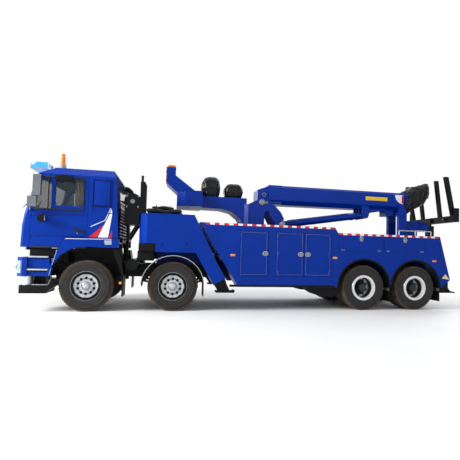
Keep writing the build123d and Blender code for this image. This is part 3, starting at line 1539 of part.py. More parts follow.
def roof_bevel(sign, depth):
    """Cuts the slope between the cab's side and its roof, this far inside the skin."""
    low = (
        cab_half - roof_rise / roof_run * depth + roof_inset / roof_run * cab_wall * 2,
        roof_shoulder_z - roof_inset / roof_run * depth - roof_rise / roof_run * cab_wall * 2,
    )
    high = (low[0] - roof_inset * 2, low[1] + roof_rise * 2)
    cross_profile(
        ((sign * low[0], low[1]), (sign * high[0], high[1]), (sign * low[0], high[1])),
        (at(nose_low[0]) - overrun, at(rear_low[0]) + overrun),
        mode=Mode.SUBTRACT,
    )


with BuildPart() as cab_room:
    with BuildSketch(Plane.XZ):
        cab_face()
        offset(amount=-cab_wall, kind=Kind.INTERSECTION, mode=Mode.REPLACE)
    extrude(amount=cab_half - cab_wall, both=True)
    for side, sign in sides:
        roof_bevel(sign, cab_wall)

with BuildPart() as cab_shell:
    with BuildSketch(Plane.XZ):
        cab_face()
    extrude(amount=cab_half, both=True)
    edge_faces = cab_shell.faces().filter_by(Axis.Y)
    rim_edges = [
        edge
        for face in edge_faces
        for edge in face.edges()
        if edge.center().X < at(screen_top[0])
    ]
    fillet(rim_edges, cab_round)
    for side, sign in sides:
        roof_bevel(sign, 0)
    add(cab_room.part, mode=Mode.SUBTRACT)
    for side, sign in sides:
        wall_y = (sign * (cab_half - cab_wall - overrun), sign * (cab_half + overrun))
        side_profile(door_edge(door_gap), wall_y, mode=Mode.SUBTRACT)
        recess_y = (sign * (cab_half - sleeper_depth), sign * (cab_half + overrun))
        block((at(sleeper_panel_s[0]), at(sleeper_panel_s[1])), recess_y, sleeper_panel_z, mode=Mode.SUBTRACT)
        for z in cab_hinges:
            barrel = hinge_barrel + fit_gap
            rod_upright(at(door_front), sign * cab_half, barrel, z, mode=Mode.SUBTRACT)
        lug_x = (at(cab_hinge_s) - hinge_ear, at(cab_hinge_s) + hinge_ear)
        lug_y = (sign * ear_drop_y[0], sign * ear_drop_y[1])
        block(lug_x, lug_y, (cab_hinge_z, nose_low[1] + overrun))
        rod_across(at(cab_hinge_s), cab_hinge_z, hinge_ear, lug_y)
        rod_across(at(cab_hinge_s), cab_hinge_z, hinge_pin + fit_gap, lug_y, mode=Mode.SUBTRACT)
    extrude(screen_sketch(0, 0), amount=cab_wall + overrun, both=True, mode=Mode.SUBTRACT)
    rear_x = at(rear_top[0]) - cab_wall * 2
    extrude(rear_sketch(rear_x, 0), amount=cab_wall * 5, mode=Mode.SUBTRACT)
    for level in grille_levels:
        slot_x = (at(nose_low[0]) - overrun, at(nose_low[0]) + cab_wall + overrun * 2)
        block(slot_x, (-grille_half, grille_half), (level, level + grille_slot), mode=Mode.SUBTRACT)
save(cab_shell, "cab_shell")

with BuildPart() as cab_glass:
    extrude(screen_sketch(cab_wall / 2, pane_gap), amount=pane_thick)
    rear_x = at((rear_top[0] + rear_low[0]) / 2) - cab_wall
    extrude(rear_sketch(rear_x, pane_gap), amount=pane_thick)
save(cab_glass, "cab_glass")

for side, sign in sides:
    panel_y = (sign * (cab_half - door_panel), sign * cab_half)
    pane_y = sign * (cab_half - door_panel / 2)
    with BuildPart() as cab_door:
        side_profile(door_edge(0), panel_y)
        below = (
            (at(door_front) - overrun, door_low - overrun * 3),
            (at(door_front) - overrun, door_low),
            (at(sill_front[0]), door_low),
            (at(sill_rear[0]), cab_low_rear),
            (at(door_rear) + overrun, cab_low_rear),
            (at(door_rear) + overrun, door_low - overrun * 3),
        )
        below_y = (panel_y[0] - sign * overrun, panel_y[1] + sign * overrun)
        side_profile(below, below_y, mode=Mode.SUBTRACT)
        for z in cab_hinges:
            barrel_z = (z[0] + fit_gap, z[1] - fit_gap)
            rod_upright(at(door_front), sign * cab_half, hinge_barrel, barrel_z)
        for window in (side_window, quarter_window):
            pane = window_sketch(window, pane_y, 0)
            extrude(pane, amount=door_panel, both=True, mode=Mode.SUBTRACT)
    save(cab_door, f"cab_door_{side}")

    with BuildPart() as door_glass:
        for window in (side_window, quarter_window):
            pane = window_sketch(window, pane_y, pane_gap)
            extrude(pane, amount=pane_thick / 2, both=True)
    save(door_glass, f"door_glass_{side}")

# Seats, bunk, dashboard and steering wheel

floor_z = cab_low_rear + cab_wall
seat_y = (430, 930)
seat_s = (-560, -60)
cushion_z = (1950, 2080)
back_s = (-120, 20)
back_top = 2680
pedestal_half = 140
bunk_s = (130, 540)
bunk_z = (1950, 2080)
dash_points_table = ((-1190, 1700), (-1190, 2010), (-1000, 2060), (-860, 2000), (-860, 1840), (-960, 1700))
dash_inset = 105
dash_half = cab_half - dash_inset
wheel_tilt = 32
wheel_centre = (-760, -680, 2130)
wheel_rim_radius = 215
wheel_bar = 14

with BuildPart() as cab_interior:
    dash = [(at(s), z) for s, z in dash_points_table]
    side_profile(dash, (-dash_half, dash_half))
    dash_foot_s, dash_foot_z = dash_points_table[5]
    dash_foot_x = (at(dash_foot_s) - overrun, at(dash_foot_s) + overrun)
    block(dash_foot_x, (-dash_half, dash_half), (nose_low[1] + cab_wall, dash_foot_z + overrun))
    for side, sign in sides:
        cushion_y = (sign * seat_y[0], sign * seat_y[1])
        block((at(seat_s[0]), at(seat_s[1])), cushion_y, cushion_z)
        seat_back = (
            (at(back_s[0]), cushion_z[0]),
            (at(back_s[1]), cushion_z[0]),
            (at(back_s[1]) + overrun * 4, back_top),
            (at(back_s[0]) + overrun * 4, back_top),
        )
        side_profile(seat_back, cushion_y)
        middle_y = sign * (seat_y[0] + seat_y[1]) / 2
        seat_mid = at((seat_s[0] + seat_s[1]) / 2)
        foot_x = (seat_mid - pedestal_half, seat_mid + pedestal_half)
        block(foot_x, (middle_y - pedestal_half, middle_y + pedestal_half), (floor_z, cushion_z[0]))
    block((at(bunk_s[0]), at(bunk_s[1])), (-cab_half + cab_wall * 2, cab_half - cab_wall * 2), bunk_z)
    bunk_foot_half = cab_half - cab_wall * 4
    bunk_foot_x = (at(bunk_s[0]) + overrun * 2, at(bunk_s[1]))
    block(bunk_foot_x, (-bunk_foot_half, bunk_foot_half), (floor_z, bunk_z[0]))
    column_out = (math.cos(math.radians(wheel_tilt)), 0, math.sin(math.radians(wheel_tilt)))
    hub_place = (at(wheel_centre[0]), wheel_centre[1], wheel_centre[2])
    with BuildSketch(Plane(origin=hub_place, x_dir=(0, 1, 0), z_dir=column_out)):
        Circle(wheel_rim_radius)
        Circle(wheel_rim_radius - wheel_bar * 2, mode=Mode.SUBTRACT)
        Rectangle(wheel_rim_radius * 2 - wheel_bar, wheel_bar * 3)
    extrude(amount=wheel_bar)
    with BuildSketch(Plane(origin=hub_place, x_dir=(0, 1, 0), z_dir=column_out)):
        Circle(wheel_bar * 2)
    extrude(amount=-wheel_rim_radius)
save(cab_interior, "cab_interior")

# Mirrors on their arms, carried by the doors

mirror_shift = (80, 150)
mirror_out = (half_width + mirror_shift[0], half_width + mirror_shift[1])
# Columns: front edge, rear edge behind the first axle, foot and top heights
mirror_boxes = ((-1050, -900, 2400, 2830), (-1140, -970, 2170, 2380))
mirror_arm = 16
arm_low = (-1085, 2110)
arm_high = (-935, 2822)
arm_joint = (-1010, 2300, 2480)
spotter_s = -875
spotter_z = 1940
spotter_radius = 80
spotter_shift = (40, 100)
spotter_out = (half_width + spotter_shift[0], half_width + spotter_shift[1])
kerb_mirror_s = (-650, -320)
kerb_mirror_z = (2735, 2840)
kerb_mirror_shift = (20, 100)
kerb_mirror_out = (half_width + kerb_mirror_shift[0], half_width + kerb_mirror_shift[1])
kerb_bracket_z = (2825, 2858)
kerb_bracket_half = 30

for side, sign in sides:
    skin = sign * (cab_half + fit_gap)
    middle = sign * (mirror_out[0] + mirror_out[1]) / 2
    housing_out = (sign * mirror_out[0], sign * mirror_out[1])
    with BuildPart() as mirror_set:
        for front, rear, foot, top in mirror_boxes:
            block((at(front), at(rear)), housing_out, (foot, top))
        rod_across(at(arm_low[0]), arm_low[1], mirror_arm, (skin, middle))
        rod_upright(at(arm_low[0]), middle, mirror_arm, (arm_low[1] - mirror_arm, mirror_boxes[1][3]))
        rod_upright(at(arm_joint[0]), middle, mirror_arm, arm_joint[1:])
        rod_across(at(arm_high[0]), arm_high[1], mirror_arm, (skin, middle))
        spot_out = (sign * spotter_out[0], sign * spotter_out[1])
        rod_across(at(spotter_s), spotter_z, spotter_radius, spot_out)
        rod_across(at(spotter_s), spotter_z, mirror_arm, (skin, spot_out[1]))
        kerb_out = (sign * kerb_mirror_out[0], sign * kerb_mirror_out[1])
        block((at(kerb_mirror_s[0]), at(kerb_mirror_s[1])), kerb_out, kerb_mirror_z)
        kerb_middle = at((kerb_mirror_s[0] + kerb_mirror_s[1]) / 2)
        bracket_x = (kerb_middle - kerb_bracket_half, kerb_middle + kerb_bracket_half)
        block(bracket_x, (skin, kerb_out[1]), kerb_bracket_z)
    save(mirror_set, f"mirrors_{side}")

# Light bar over the windscreen and the beacon on the roof

bar_lamp_s = (-1215, -860)
bar_lamp_inset = 105
bar_lamp_half = cab_half - bar_lamp_inset
bar_lamp_z = (3005, 3140)
bar_foot_share = 0.7
bar_foot_half = 60
bar_foot_s = (-900, -840)
beacon_s = -610
beacon_y = -990
beacon_base_radius = 78
beacon_base_height = 75
beacon_radius = 70
beacon_top_radius = 58
beacon_height = 240

with BuildPart() as roof_lamps:
    lens_points = (
        (at(bar_lamp_s[0]), bar_lamp_z[0]),
        (at(bar_lamp_s[1]), bar_lamp_z[0]),
        (at(bar_lamp_s[1]), bar_lamp_z[1]),
        (at(bar_lamp_s[0]) + bar_lamp_z[1] - bar_lamp_z[0], bar_lamp_z[1]),
    )
    side_profile(lens_points, (-bar_lamp_half, bar_lamp_half))
    slope = (brow[1] - screen_top[1]) / (brow[0] - screen_top[0])
    for side, sign in sides:
        foot_mid = sign * bar_lamp_half * bar_foot_share
        foot_y = (foot_mid - bar_foot_half, foot_mid + bar_foot_half)
        foot_points = (
            (at(bar_foot_s[0]), screen_top[1] + slope * (bar_foot_s[0] - screen_top[0]) + fit_gap),
            (at(bar_foot_s[1]), screen_top[1] + slope * (bar_foot_s[1] - screen_top[0]) + fit_gap),
            (at(bar_foot_s[1]), bar_lamp_z[1] - overrun),
            (at(bar_foot_s[0]), bar_lamp_z[1] - overrun),
        )
        side_profile(foot_points, foot_y)
    with BuildSketch(Plane.XY.offset(brow[1] + fit_gap)):
        with Locations((at(beacon_s), beacon_y)):
            Circle(beacon_base_radius)
    extrude(amount=beacon_base_height)
    with BuildSketch(Plane.XY.offset(brow[1] + beacon_base_height)):
        with Locations((at(beacon_s), beacon_y)):
            Circle(beacon_radius)
    with BuildSketch(Plane.XY.offset(brow[1] + beacon_base_height + beacon_height)):
        with Locations((at(beacon_s), beacon_y)):
            Circle(beacon_top_radius)
    loft()
save(roof_lamps, "roof_lamps")
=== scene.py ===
import json
import math

import bpy
import bmesh
from mathutils import Matrix, Vector, noise


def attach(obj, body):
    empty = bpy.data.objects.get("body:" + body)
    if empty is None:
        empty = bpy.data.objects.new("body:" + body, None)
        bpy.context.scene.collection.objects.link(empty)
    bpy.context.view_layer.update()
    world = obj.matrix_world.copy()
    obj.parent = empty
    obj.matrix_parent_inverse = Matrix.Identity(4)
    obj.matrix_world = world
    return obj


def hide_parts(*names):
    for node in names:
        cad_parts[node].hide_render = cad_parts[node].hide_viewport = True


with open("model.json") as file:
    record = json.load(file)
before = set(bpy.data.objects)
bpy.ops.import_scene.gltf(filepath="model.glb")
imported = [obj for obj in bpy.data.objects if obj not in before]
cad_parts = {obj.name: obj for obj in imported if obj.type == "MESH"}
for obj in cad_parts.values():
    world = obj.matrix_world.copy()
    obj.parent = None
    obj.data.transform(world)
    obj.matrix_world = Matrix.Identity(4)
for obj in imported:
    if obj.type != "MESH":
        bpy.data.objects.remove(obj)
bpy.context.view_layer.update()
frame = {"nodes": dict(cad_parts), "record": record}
scene = bpy.context.scene

# X of the first axle: every s below is a distance behind it
AXLE = -3.93


def at(s):
    return AXLE + s


# Colours and materials


def linear(hexa):
    """A colour written as sRGB hex digits, as linear values."""
    out = []
    for k in (0, 2, 4):
        c = int(hexa[k : k + 2], 16) / 255
        out.append(c / 12.92 if c <= 0.04045 else ((c + 0.055) / 1.055) ** 2.4)
    return (out[0], out[1], out[2], 1)


def grey(value):
    return (value, value, value, 1)


def add(tree, kind, settings=None, **links):
    """Adds a node, sets its plain inputs and links the rest."""
    node = tree.nodes.new(kind)
    for key, value in (settings or {}).items():
        setattr(node, key, value)
    for key, value in links.items():
        name = key.replace("_", " ")
        socket = node.inputs[int(name)] if name.isdigit() else node.inputs[name]
        if hasattr(value, "outputs"):
            tree.links.new(value.outputs[0], socket)
        elif hasattr(value, "is_linked"):
            tree.links.new(value, socket)
        else:
            socket.default_value = value
    return node


def maths(tree, operation, first, second):
    return add(tree, "ShaderNodeMath", {"operation": operation}, **{"0": first, "1": second})


def ramp(tree, fac, stops):
    node = tree.nodes.new("ShaderNodeValToRGB")
    tree.links.new(fac, node.inputs[0])
    el = node.color_ramp.elements
    el[0].position, el[0].color = stops[0]
    el[1].position, el[1].color = stops[-1]
    for pos, col in stops[1:-1]:
        e = el.new(pos)
        e.color = col
    return node


def make(name, base, other, rough, scale, detail, bump, metal=0.0, coat=0.0, wear=None, mix=0.5, gloss=0.5):
    """A painted, cast or moulded surface: two tones in patches, and finer grain in its roughness and bump."""
    mat = bpy.data.materials.new(name)
    mat.use_nodes = True
    t = mat.node_tree
    bsdf = t.nodes["Principled BSDF"]
    place = t.nodes.new("ShaderNodeTexCoord").outputs["Object"]
    patches = add(t, "ShaderNodeTexNoise", Vector=place, Scale=scale, Detail=4.0, Roughness=0.6)
    grain = add(t, "ShaderNodeTexNoise", Vector=place, Scale=detail, Detail=5.0, Roughness=0.7)
    tones = [(0.5 - mix / 2, linear(base)), (0.5 + mix / 2, linear(other))]
    out = ramp(t, patches.outputs["Fac"], tones).outputs[0]
    if wear:
        tone, share = wear
        edge = add(t, "ShaderNodeTexNoise", Vector=place, Scale=detail * 0.35, Detail=8.0, Roughness=0.75)
        mask = ramp(t, edge.outputs["Fac"], [(share, grey(0)), (share + 0.05, grey(1))])
        mixer = add(t, "ShaderNodeMix", {"data_type": "RGBA"}, **{"0": mask, "6": out, "7": linear(tone)})
        out = mixer.outputs[2]
    t.links.new(out, bsdf.inputs["Base Color"])
    spread = [(0.3, grey(max(rough - 0.09, 0.02))), (0.7, grey(min(rough + 0.09, 1)))]
    t.links.new(ramp(t, grain.outputs["Fac"], spread).outputs[0], bsdf.inputs["Roughness"])
    plain = {"Metallic": metal, "Coat Weight": coat, "Coat Roughness": 0.06, "Specular IOR Level": gloss}
    for socket, value in plain.items():
        bsdf.inputs[socket].default_value = value
    lift = add(t, "ShaderNodeBump", Height=grain.outputs["Fac"], Strength=bump, Distance=0.004)
    t.links.new(lift.outputs[0], bsdf.inputs["Normal"])
    return mat


def glass(name, tint, rough, alpha):
    mat = bpy.data.materials.new(name)
    mat.use_nodes = True
    t = mat.node_tree
    bsdf = t.nodes["Principled BSDF"]
    coord = t.nodes.new("ShaderNodeTexCoord")
    dust_and_shade = add(t, "ShaderNodeTexNoise", Vector=coord.outputs["Object"], Scale=3.0, Detail=5.0)
    tone = ramp(t, dust_and_shade.outputs["Fac"], [(0.3, grey(rough)), (0.8, grey(rough + 0.12))])
    t.links.new(tone.outputs[0], bsdf.inputs["Roughness"])
    paler = tuple(min(1, c * 1.15) for c in linear(tint))
    shade = ramp(t, dust_and_shade.outputs["Fac"], [(0.2, linear(tint)), (0.9, paler)])
    t.links.new(shade.outputs[0], bsdf.inputs["Base Color"])
    bsdf.inputs["Alpha"].default_value = alpha
    bsdf.inputs["IOR"].default_value = 1.45
    return mat


# Name, two tones, roughness, scale of the patches and of the grain, and height of the grain
blue = make("royal_blue_paint", "00297f", "003096", 0.3, 1.5, 260, 0.01, mix=0.9, gloss=0.12)
black = make("black_chassis_paint", "050607", "0d0e10", 0.42, 5, 90, 0.08, wear=("2b2722", 0.68), gloss=0.14)
wall = make("shaded_rear_wall_paint", "0a1a4c", "0c2260", 0.8, 3, 120, 0.02, gloss=0.03)
cast = make("dirty_cast_iron", "141416", "262421", 0.75, 8, 120, 0.3, wear=("4a4036", 0.6))
steel = make("worn_grey_steel", "6c6e70", "8b8c8c", 0.4, 7, 140, 0.08, metal=0.8)
chrome = make("polished_rod", "b9bcc0", "c8cacd", 0.12, 4, 200, 0.01, metal=1.0)
silver = make("silver_wheel_paint", "a9adb2", "bcc0c4", 0.32, 9, 150, 0.04, metal=0.35)
rubber = make("tyre_rubber", "1f1e1d", "2f2c2a", 0.8, 9, 160, 0.2, wear=("4b453e", 0.6), gloss=0.3)
tread = make("dusty_tread_rubber", "3a322b", "5b4e42", 0.9, 11, 160, 0.25, wear=("7a6a58", 0.56), gloss=0.15)
lens = glass("clear_lamp_lens", "9db0c2", 0.03, 0.6)
pane = glass("cab_window_glass", "26343a", 0.02, 0.38)
sky = make("cyan_light_bar", "2f95e4", "4fb0ee", 0.18, 5, 60, 0.03, coat=0.5)
amber = make("amber_lens", "d9720c", "ef9420", 0.2, 6, 60, 0.02, coat=0.5)
cloth = make("tied_down_cloth", "07080a", "101216", 0.27, 5, 220, 0.15, gloss=0.22)
ribbed = make("ribbed_light_plate", "9aa3b4", "b4bccb", 0.4, 6, 160, 0.1)
cream = make("cream_seat_cloth", "b5a68c", "c9bca3", 0.8, 6, 260, 0.2)
# Dark grey for the deep dish of the twin wheels and the depth of their barrels: painted shade
dish = make("wheel_dish_painted_shade", "18191b", "2c2a28", 0.7, 9, 90, 0.15, metal=0.1)
# Lighter copy of the rims' silver for the barrel of the twin wheels: painted highlight
barrel = make("rim_barrel_painted_highlight", "d2d5d8", "e0e2e4", 0.35, 9, 150, 0.03, metal=0.15)
trim = make("moulded_trim", "5c564d", "756d61", 0.6, 6, 200, 0.15)
housing = make("grey_mirror_plastic", "50555b", "62676d", 0.45, 8, 220, 0.1)

seal = make("black_door_rubber", "0c0d0e", "141516", 0.65, 8, 200, 0.05, gloss=0.3)
grey_rubber = make("grey_lamp_base", "8d8f90", "a2a4a4", 0.5, 8, 160, 0.05)
rubber_grey = make("light_edge_rubber", "8e9294", "a4a8aa", 0.55, 9, 160, 0.1)
signal_red = make("red_film", "c0141c", "cf2026", 0.35, 5, 200, 0.01, gloss=0.3)
white = make("white_film", "dcdfe2", "e9ebed", 0.35, 5, 200, 0.01, gloss=0.3)
plate_white = make("bare_plate", "c9ccce", "dadcdd", 0.35, 5, 200, 0.01)
yellow = make("bare_yellow_label", "d8b20c", "e6c21c", 0.4, 5, 200, 0.01, gloss=0.3)
beige = make("beige_reflector", "cbb790", "d8c6a4", 0.35, 5, 120, 0.04)
latch_grey = make("zinc_plated_latch", "9a9ea2", "b4b8bb", 0.35, 9, 180, 0.04, metal=0.6)
mirror_face = make("mirror_glass", "9fa6ac", "aab0b6", 0.06, 5, 60, 0.0, metal=1.0)

by_slot = {
    "blue_paint": blue,
    "black_paint": black,
    "grey_steel": chrome,
    "cast_iron": cast,
    "silver_wheel": silver,
    "tyre_rubber": rubber,
    "clear_glass": pane,
    "lamp_lens": lens,
    "roof_lens": sky,
    "dark_fabric": cloth,
    "trim_plastic": trim,
    "mirror_housing": housing,
}
node_slot = {s["node"]: s["material_slot"] for s in frame["record"]["subparts"]}
for node, obj in frame["nodes"].items():
    obj.data.materials.clear()
    obj.data.materials.append(by_slot[node_slot[node]])

SIDES = (("left", -1), ("right", 1))


def spot(s, y, z):
    return Vector((at(s), y, z))


def between(a, b, share):
    return a + (b - a) * share


def oblong(s, z):
    """The corners of a rectangle seen from the side."""
    return ((s[0], z[0]), (s[1], z[0]), (s[1], z[1]), (s[0], z[1]))


def arc(s, z, radius, degrees):
    """Points on a circle seen from the side."""
    turns = [math.radians(a) for a in degrees]
    return [(s + radius * math.cos(a), z + radius * math.sin(a)) for a in turns]


def outward(sign, far):
    return Vector((0, sign * far, 0))


def skin(bm, loops, look=0, closed=False, ends=True):
    """Faces between rings of as many points each, with its ends closed."""
    rings = [[bm.verts.new(p) for p in loop] for loop in loops]
    count = len(rings[0])
    pairs = list(zip(rings, rings[1:]))
    if closed:
        pairs.append((rings[-1], rings[0]))
    faces = []
    for a, b in pairs:
        for i in range(count):
            j = (i + 1) % count
            faces.append(bm.faces.new((a[i], a[j], b[j], b[i])))
    if ends and not closed:
        faces += [bm.faces.new(rings[0]), bm.faces.new(rings[-1])]
    for face in faces:
        face.material_index = look
    return faces


def prism(bm, outline, across, look=0):
    """A side outline of (behind the first axle, height) carried across the truck."""
    return skin(bm, [[spot(s, y, z) for s, z in outline] for y in across], look)


def block(bm, s, y, z, look=0):
    return prism(bm, oblong(s, z), y, look)


def circle(centre, side, other, radius, sides):
    """Points round a centre, in the plane of two directions."""
    turns = [2 * math.pi * k / sides for k in range(sides)]
    return [centre + (side * math.cos(t) + other * math.sin(t)) * radius for t in turns]


def rod(bm, a, b, radius, sides=14, look=0):
    """A round bar from a to b."""
    axis = (b - a).normalized()
    side = axis.orthogonal().normalized()
    other = axis.cross(side)
    return skin(bm, [circle(p, side, other, radius, sides) for p in (a, b)], look)


def pin(bm, s, z, y, radius, sides, look=0):
    """A round bar across the truck, from one y to the other."""
    return rod(bm, spot(s, y[0], z), spot(s, y[1], z), radius, sides, look)


def post(bm, s, y, z, radius, sides, look=0):
    """An upright round bar, from one height to the other."""
    return rod(bm, spot(s, y, z[0]), spot(s, y, z[1]), radius, sides, look)


def tube(bm, points, radius, sides=8, look=0):
    """A round bar bent along a line of points."""
    points = [Vector(p) for p in points]
    rings, side = [], None
    for i, p in enumerate(points):
        ahead = (points[min(i + 1, len(points) - 1)] - points[max(i - 1, 0)]).normalized()
        side = ahead.orthogonal() if side is None else side - ahead * side.dot(ahead)
        side.normalize()
        rings.append(circle(p, side, ahead.cross(side), radius, sides))
    return skin(bm, rings, look)


def lathe(bm, outline, centre, sign=1, sides=72, looks=0, wave=None):
    """Turns a closed outline of (radius, out along the axle). A wave changes a radius by its angle."""
    rings = []
    for r, out in outline:
        ring = []
        for k in range(sides):
            turn = 2 * math.pi * k / sides
            far = wave(r, turn) if wave else r
            ring.append(centre + Vector((far * math.cos(turn), sign * out, far * math.sin(turn))))
        rings.append(ring)
    faces = skin(bm, rings, 0, closed=True)
    for i, face in enumerate(faces):
        face.material_index = looks if isinstance(looks, int) else looks[i // sides]
    return faces


def mesh_object(name, bm, looks):
    """Makes an object of a finished mesh."""
    mesh = bpy.data.meshes.new(name)
    bm.to_mesh(mesh)
    bm.free()
    for look in looks:
        mesh.materials.append(look)
    obj = bpy.data.objects.new(name, mesh)
    scene.collection.objects.link(obj)
    return obj


# Edges with a sharper turn are bevelled, and edges with a softer one are shaded smooth
BEVEL_TURN = math.radians(30)
SMOOTH_TURN = math.radians(35)


def piece(name, bm, looks, body, bevel=0.0, replaced=()):
    """Turns a mesh's faces outward, gives it its finishes and lets it ride on its body."""
    bmesh.ops.recalc_face_normals(bm, faces=bm.faces)
    if bevel:
        edges = [e for e in bm.edges if len(e.link_faces) == 2 and e.calc_face_angle(0) > BEVEL_TURN]
        form = {"offset": bevel, "segments": 2, "profile": 0.6, "affect": "EDGES", "clamp_overlap": True}
        bmesh.ops.bevel(bm, geom=edges, **form)
    for face in bm.faces:
        face.smooth = True
    for edge in bm.edges:
        edge.smooth = len(edge.link_faces) == 2 and edge.calc_face_angle(0) < SMOOTH_TURN
    obj = mesh_object(name, bm, looks)
    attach(obj, body)
    if replaced:
        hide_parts(*replaced)
    return obj


def paint(node, looks, rule):
    """Gives each face of a CAD node one of several finishes, by the middle of the face and its normal."""
    mesh = frame["nodes"][node].data
    mesh.materials.clear()
    for look in looks:
        mesh.materials.append(look)
    for face in mesh.polygons:
        c = face.center
        face.material_index = rule(c.x - AXLE, c.y, c.z, face.normal)


# Repeats made with Geometry Nodes


def repeat_tree(name, ring, shape):
    """Copies of a lug or a bolt, on a ring about the axle or on a straight row."""
    tree = bpy.data.node_groups.new(name, "GeometryNodeTree")
    tree.is_modifier = True
    wants = [("Count", "NodeSocketInt"), ("Look", "NodeSocketMaterial"), ("Size", "NodeSocketVector")]
    wants += [("Radius", "NodeSocketFloat"), ("Centre", "NodeSocketVector")] if ring else []
    wants += [] if ring else [("Start", "NodeSocketVector"), ("End", "NodeSocketVector")]
    tree.interface.new_socket("Geometry", in_out="OUTPUT", socket_type="NodeSocketGeometry")
    for label, kind in wants:
        tree.interface.new_socket(label, in_out="INPUT", socket_type=kind)
    given = tree.nodes.new("NodeGroupInput").outputs
    size = add(tree, "ShaderNodeSeparateXYZ", Vector=given["Size"]).outputs
    upright = (math.pi / 2, 0, 0)
    if shape == "lug":
        one = add(tree, "GeometryNodeMeshCube", Size=given["Size"])
    else:
        sides = 6 if shape == "nut" else 10
        one = add(tree, "GeometryNodeMeshCylinder", Vertices=sides, Radius=size["X"], Depth=size["Z"])
    if ring:
        places = add(tree, "GeometryNodeMeshCircle", Vertices=given["Count"], Radius=given["Radius"])
        index = tree.nodes.new("GeometryNodeInputIndex")
        step = maths(tree, "DIVIDE", 2 * math.pi, given["Count"])
        facing = add(tree, "ShaderNodeCombineXYZ", Z=maths(tree, "MULTIPLY", index, step))
    else:
        ends = {"Start_Location": given["Start"], "Offset": given["End"]}
        places = add(tree, "GeometryNodeMeshLine", {"mode": "END_POINTS"}, Count=given["Count"], **ends)
        facing = upright
    copies = add(tree, "GeometryNodeInstanceOnPoints", Points=places, Instance=one, Rotation=facing)
    last = add(tree, "GeometryNodeRealizeInstances", Geometry=copies)
    if ring:
        centre = given["Centre"]
        last = add(tree, "GeometryNodeTransform", Geometry=last, Translation=centre, Rotation=upright)
    done = add(tree, "GeometryNodeSetMaterial", Geometry=last, Material=given["Look"])
    add(tree, "NodeGroupOutput", Geometry=done)
    return tree


LUG_RING = repeat_tree("lug_ring", True, "lug")
NUT_RING = repeat_tree("nut_ring", True, "nut")
BOLT_ROW = repeat_tree("bolt_row", False, "bolt")


def grow(bm, tree, look, index, **values):
    """Runs a repeat tree and adds its mesh to a piece, with the piece's finish number."""
    holder = bpy.data.objects.new("repeat", bpy.data.meshes.new("repeat"))
    scene.collection.objects.link(holder)
    growth = holder.modifiers.new("repeat", "NODES")
    growth.node_group = tree
    values["Look"] = look
    for item in tree.interface.items_tree:
        if item.in_out == "INPUT":
            growth[item.identifier] = values[item.name]
    bpy.context.view_layer.update()
    evaluated = holder.evaluated_get(bpy.context.evaluated_depsgraph_get())
    mesh = bpy.data.meshes.new_from_object(evaluated)
    before = set(bm.faces)
    bm.from_mesh(mesh)
    for face in bm.faces:
        if face not in before:
            face.material_index = index
    bpy.data.objects.remove(holder)
    bpy.data.meshes.remove(mesh)


def nuts(bm, look, count, radius, size, centre):
    """Nuts of a radius and depth, on a ring about the axle."""
    grow(bm, NUT_RING, look, 1, Count=count, Size=(size[0], 0, size[1]), Radius=radius, Centre=centre)


def bolts(bm, look, count, size, y, a, b):
    """Bolt heads of a radius and depth, in a row between two points of (behind the first axle, height)."""
    ends = {"Start": tuple(spot(a[0], y, a[1])), "End": tuple(spot(b[0], y, b[1]))}
    grow(bm, BOLT_ROW, look, 0, Count=count, Size=(size[0], 0, size[1]), **ends)


# Wheels: treaded tyres, and what closes the rims

WHEEL_Z = 0.545
AXLES = (0.0, 1.8, 6.375, 7.775)
DRIVEN = AXLES[2:]
HALF_TYRE = 0.15
# Radius of the ring of nuts, and of the holes behind them, which are black discs of painted shade
NUT_CIRCLE = 0.168
# Radius and share of the half width, from one bead round the tread to the other
side_wall = (
    (0.262, 0.80), (0.272, 0.86), (0.296, 0.88), (0.301, 0.93), (0.318, 0.935), (0.345, 0.965),
    (0.372, 0.978), (0.376, 0.992), (0.384, 0.992), (0.388, 0.985), (0.420, 1.0), (0.455, 0.99),
    (0.459, 1.0), (0.467, 0.998), (0.471, 0.98), (0.500, 0.955), (0.512, 0.90), (0.528, 0.84),
)
tread_half = (
    (0.534, 0.735), (0.534, 0.56), (0.545, 0.55), (0.545, 0.33), (0.532, 0.32), (0.532, 0.27), (0.545, 0.26),
)
half_outline = side_wall + tread_half
tyre_outline = half_outline + tuple((r, -share) for r, share in reversed(half_outline))


def tyre(bm, centre):
    looks = [1 if r > 0.515 else 0 for r, share in tyre_outline]
    lathe(bm, [(r, share * HALF_TYRE) for r, share in tyre_outline], centre, 1, 96, looks)
    for side in (-1, 1):
        middle = centre + outward(side, 0.66 * HALF_TYRE)
        # The ring lies flat before it is turned upright, so a lug's width is its Z
        grow(bm, LUG_RING, tread, 1, Count=54, Size=(0.024, 0.036, 0.046), Radius=0.532, Centre=middle)


def scallop(r, turn):
    return r + 0.009 * math.cos(10 * turn) if r > 0.24 else r


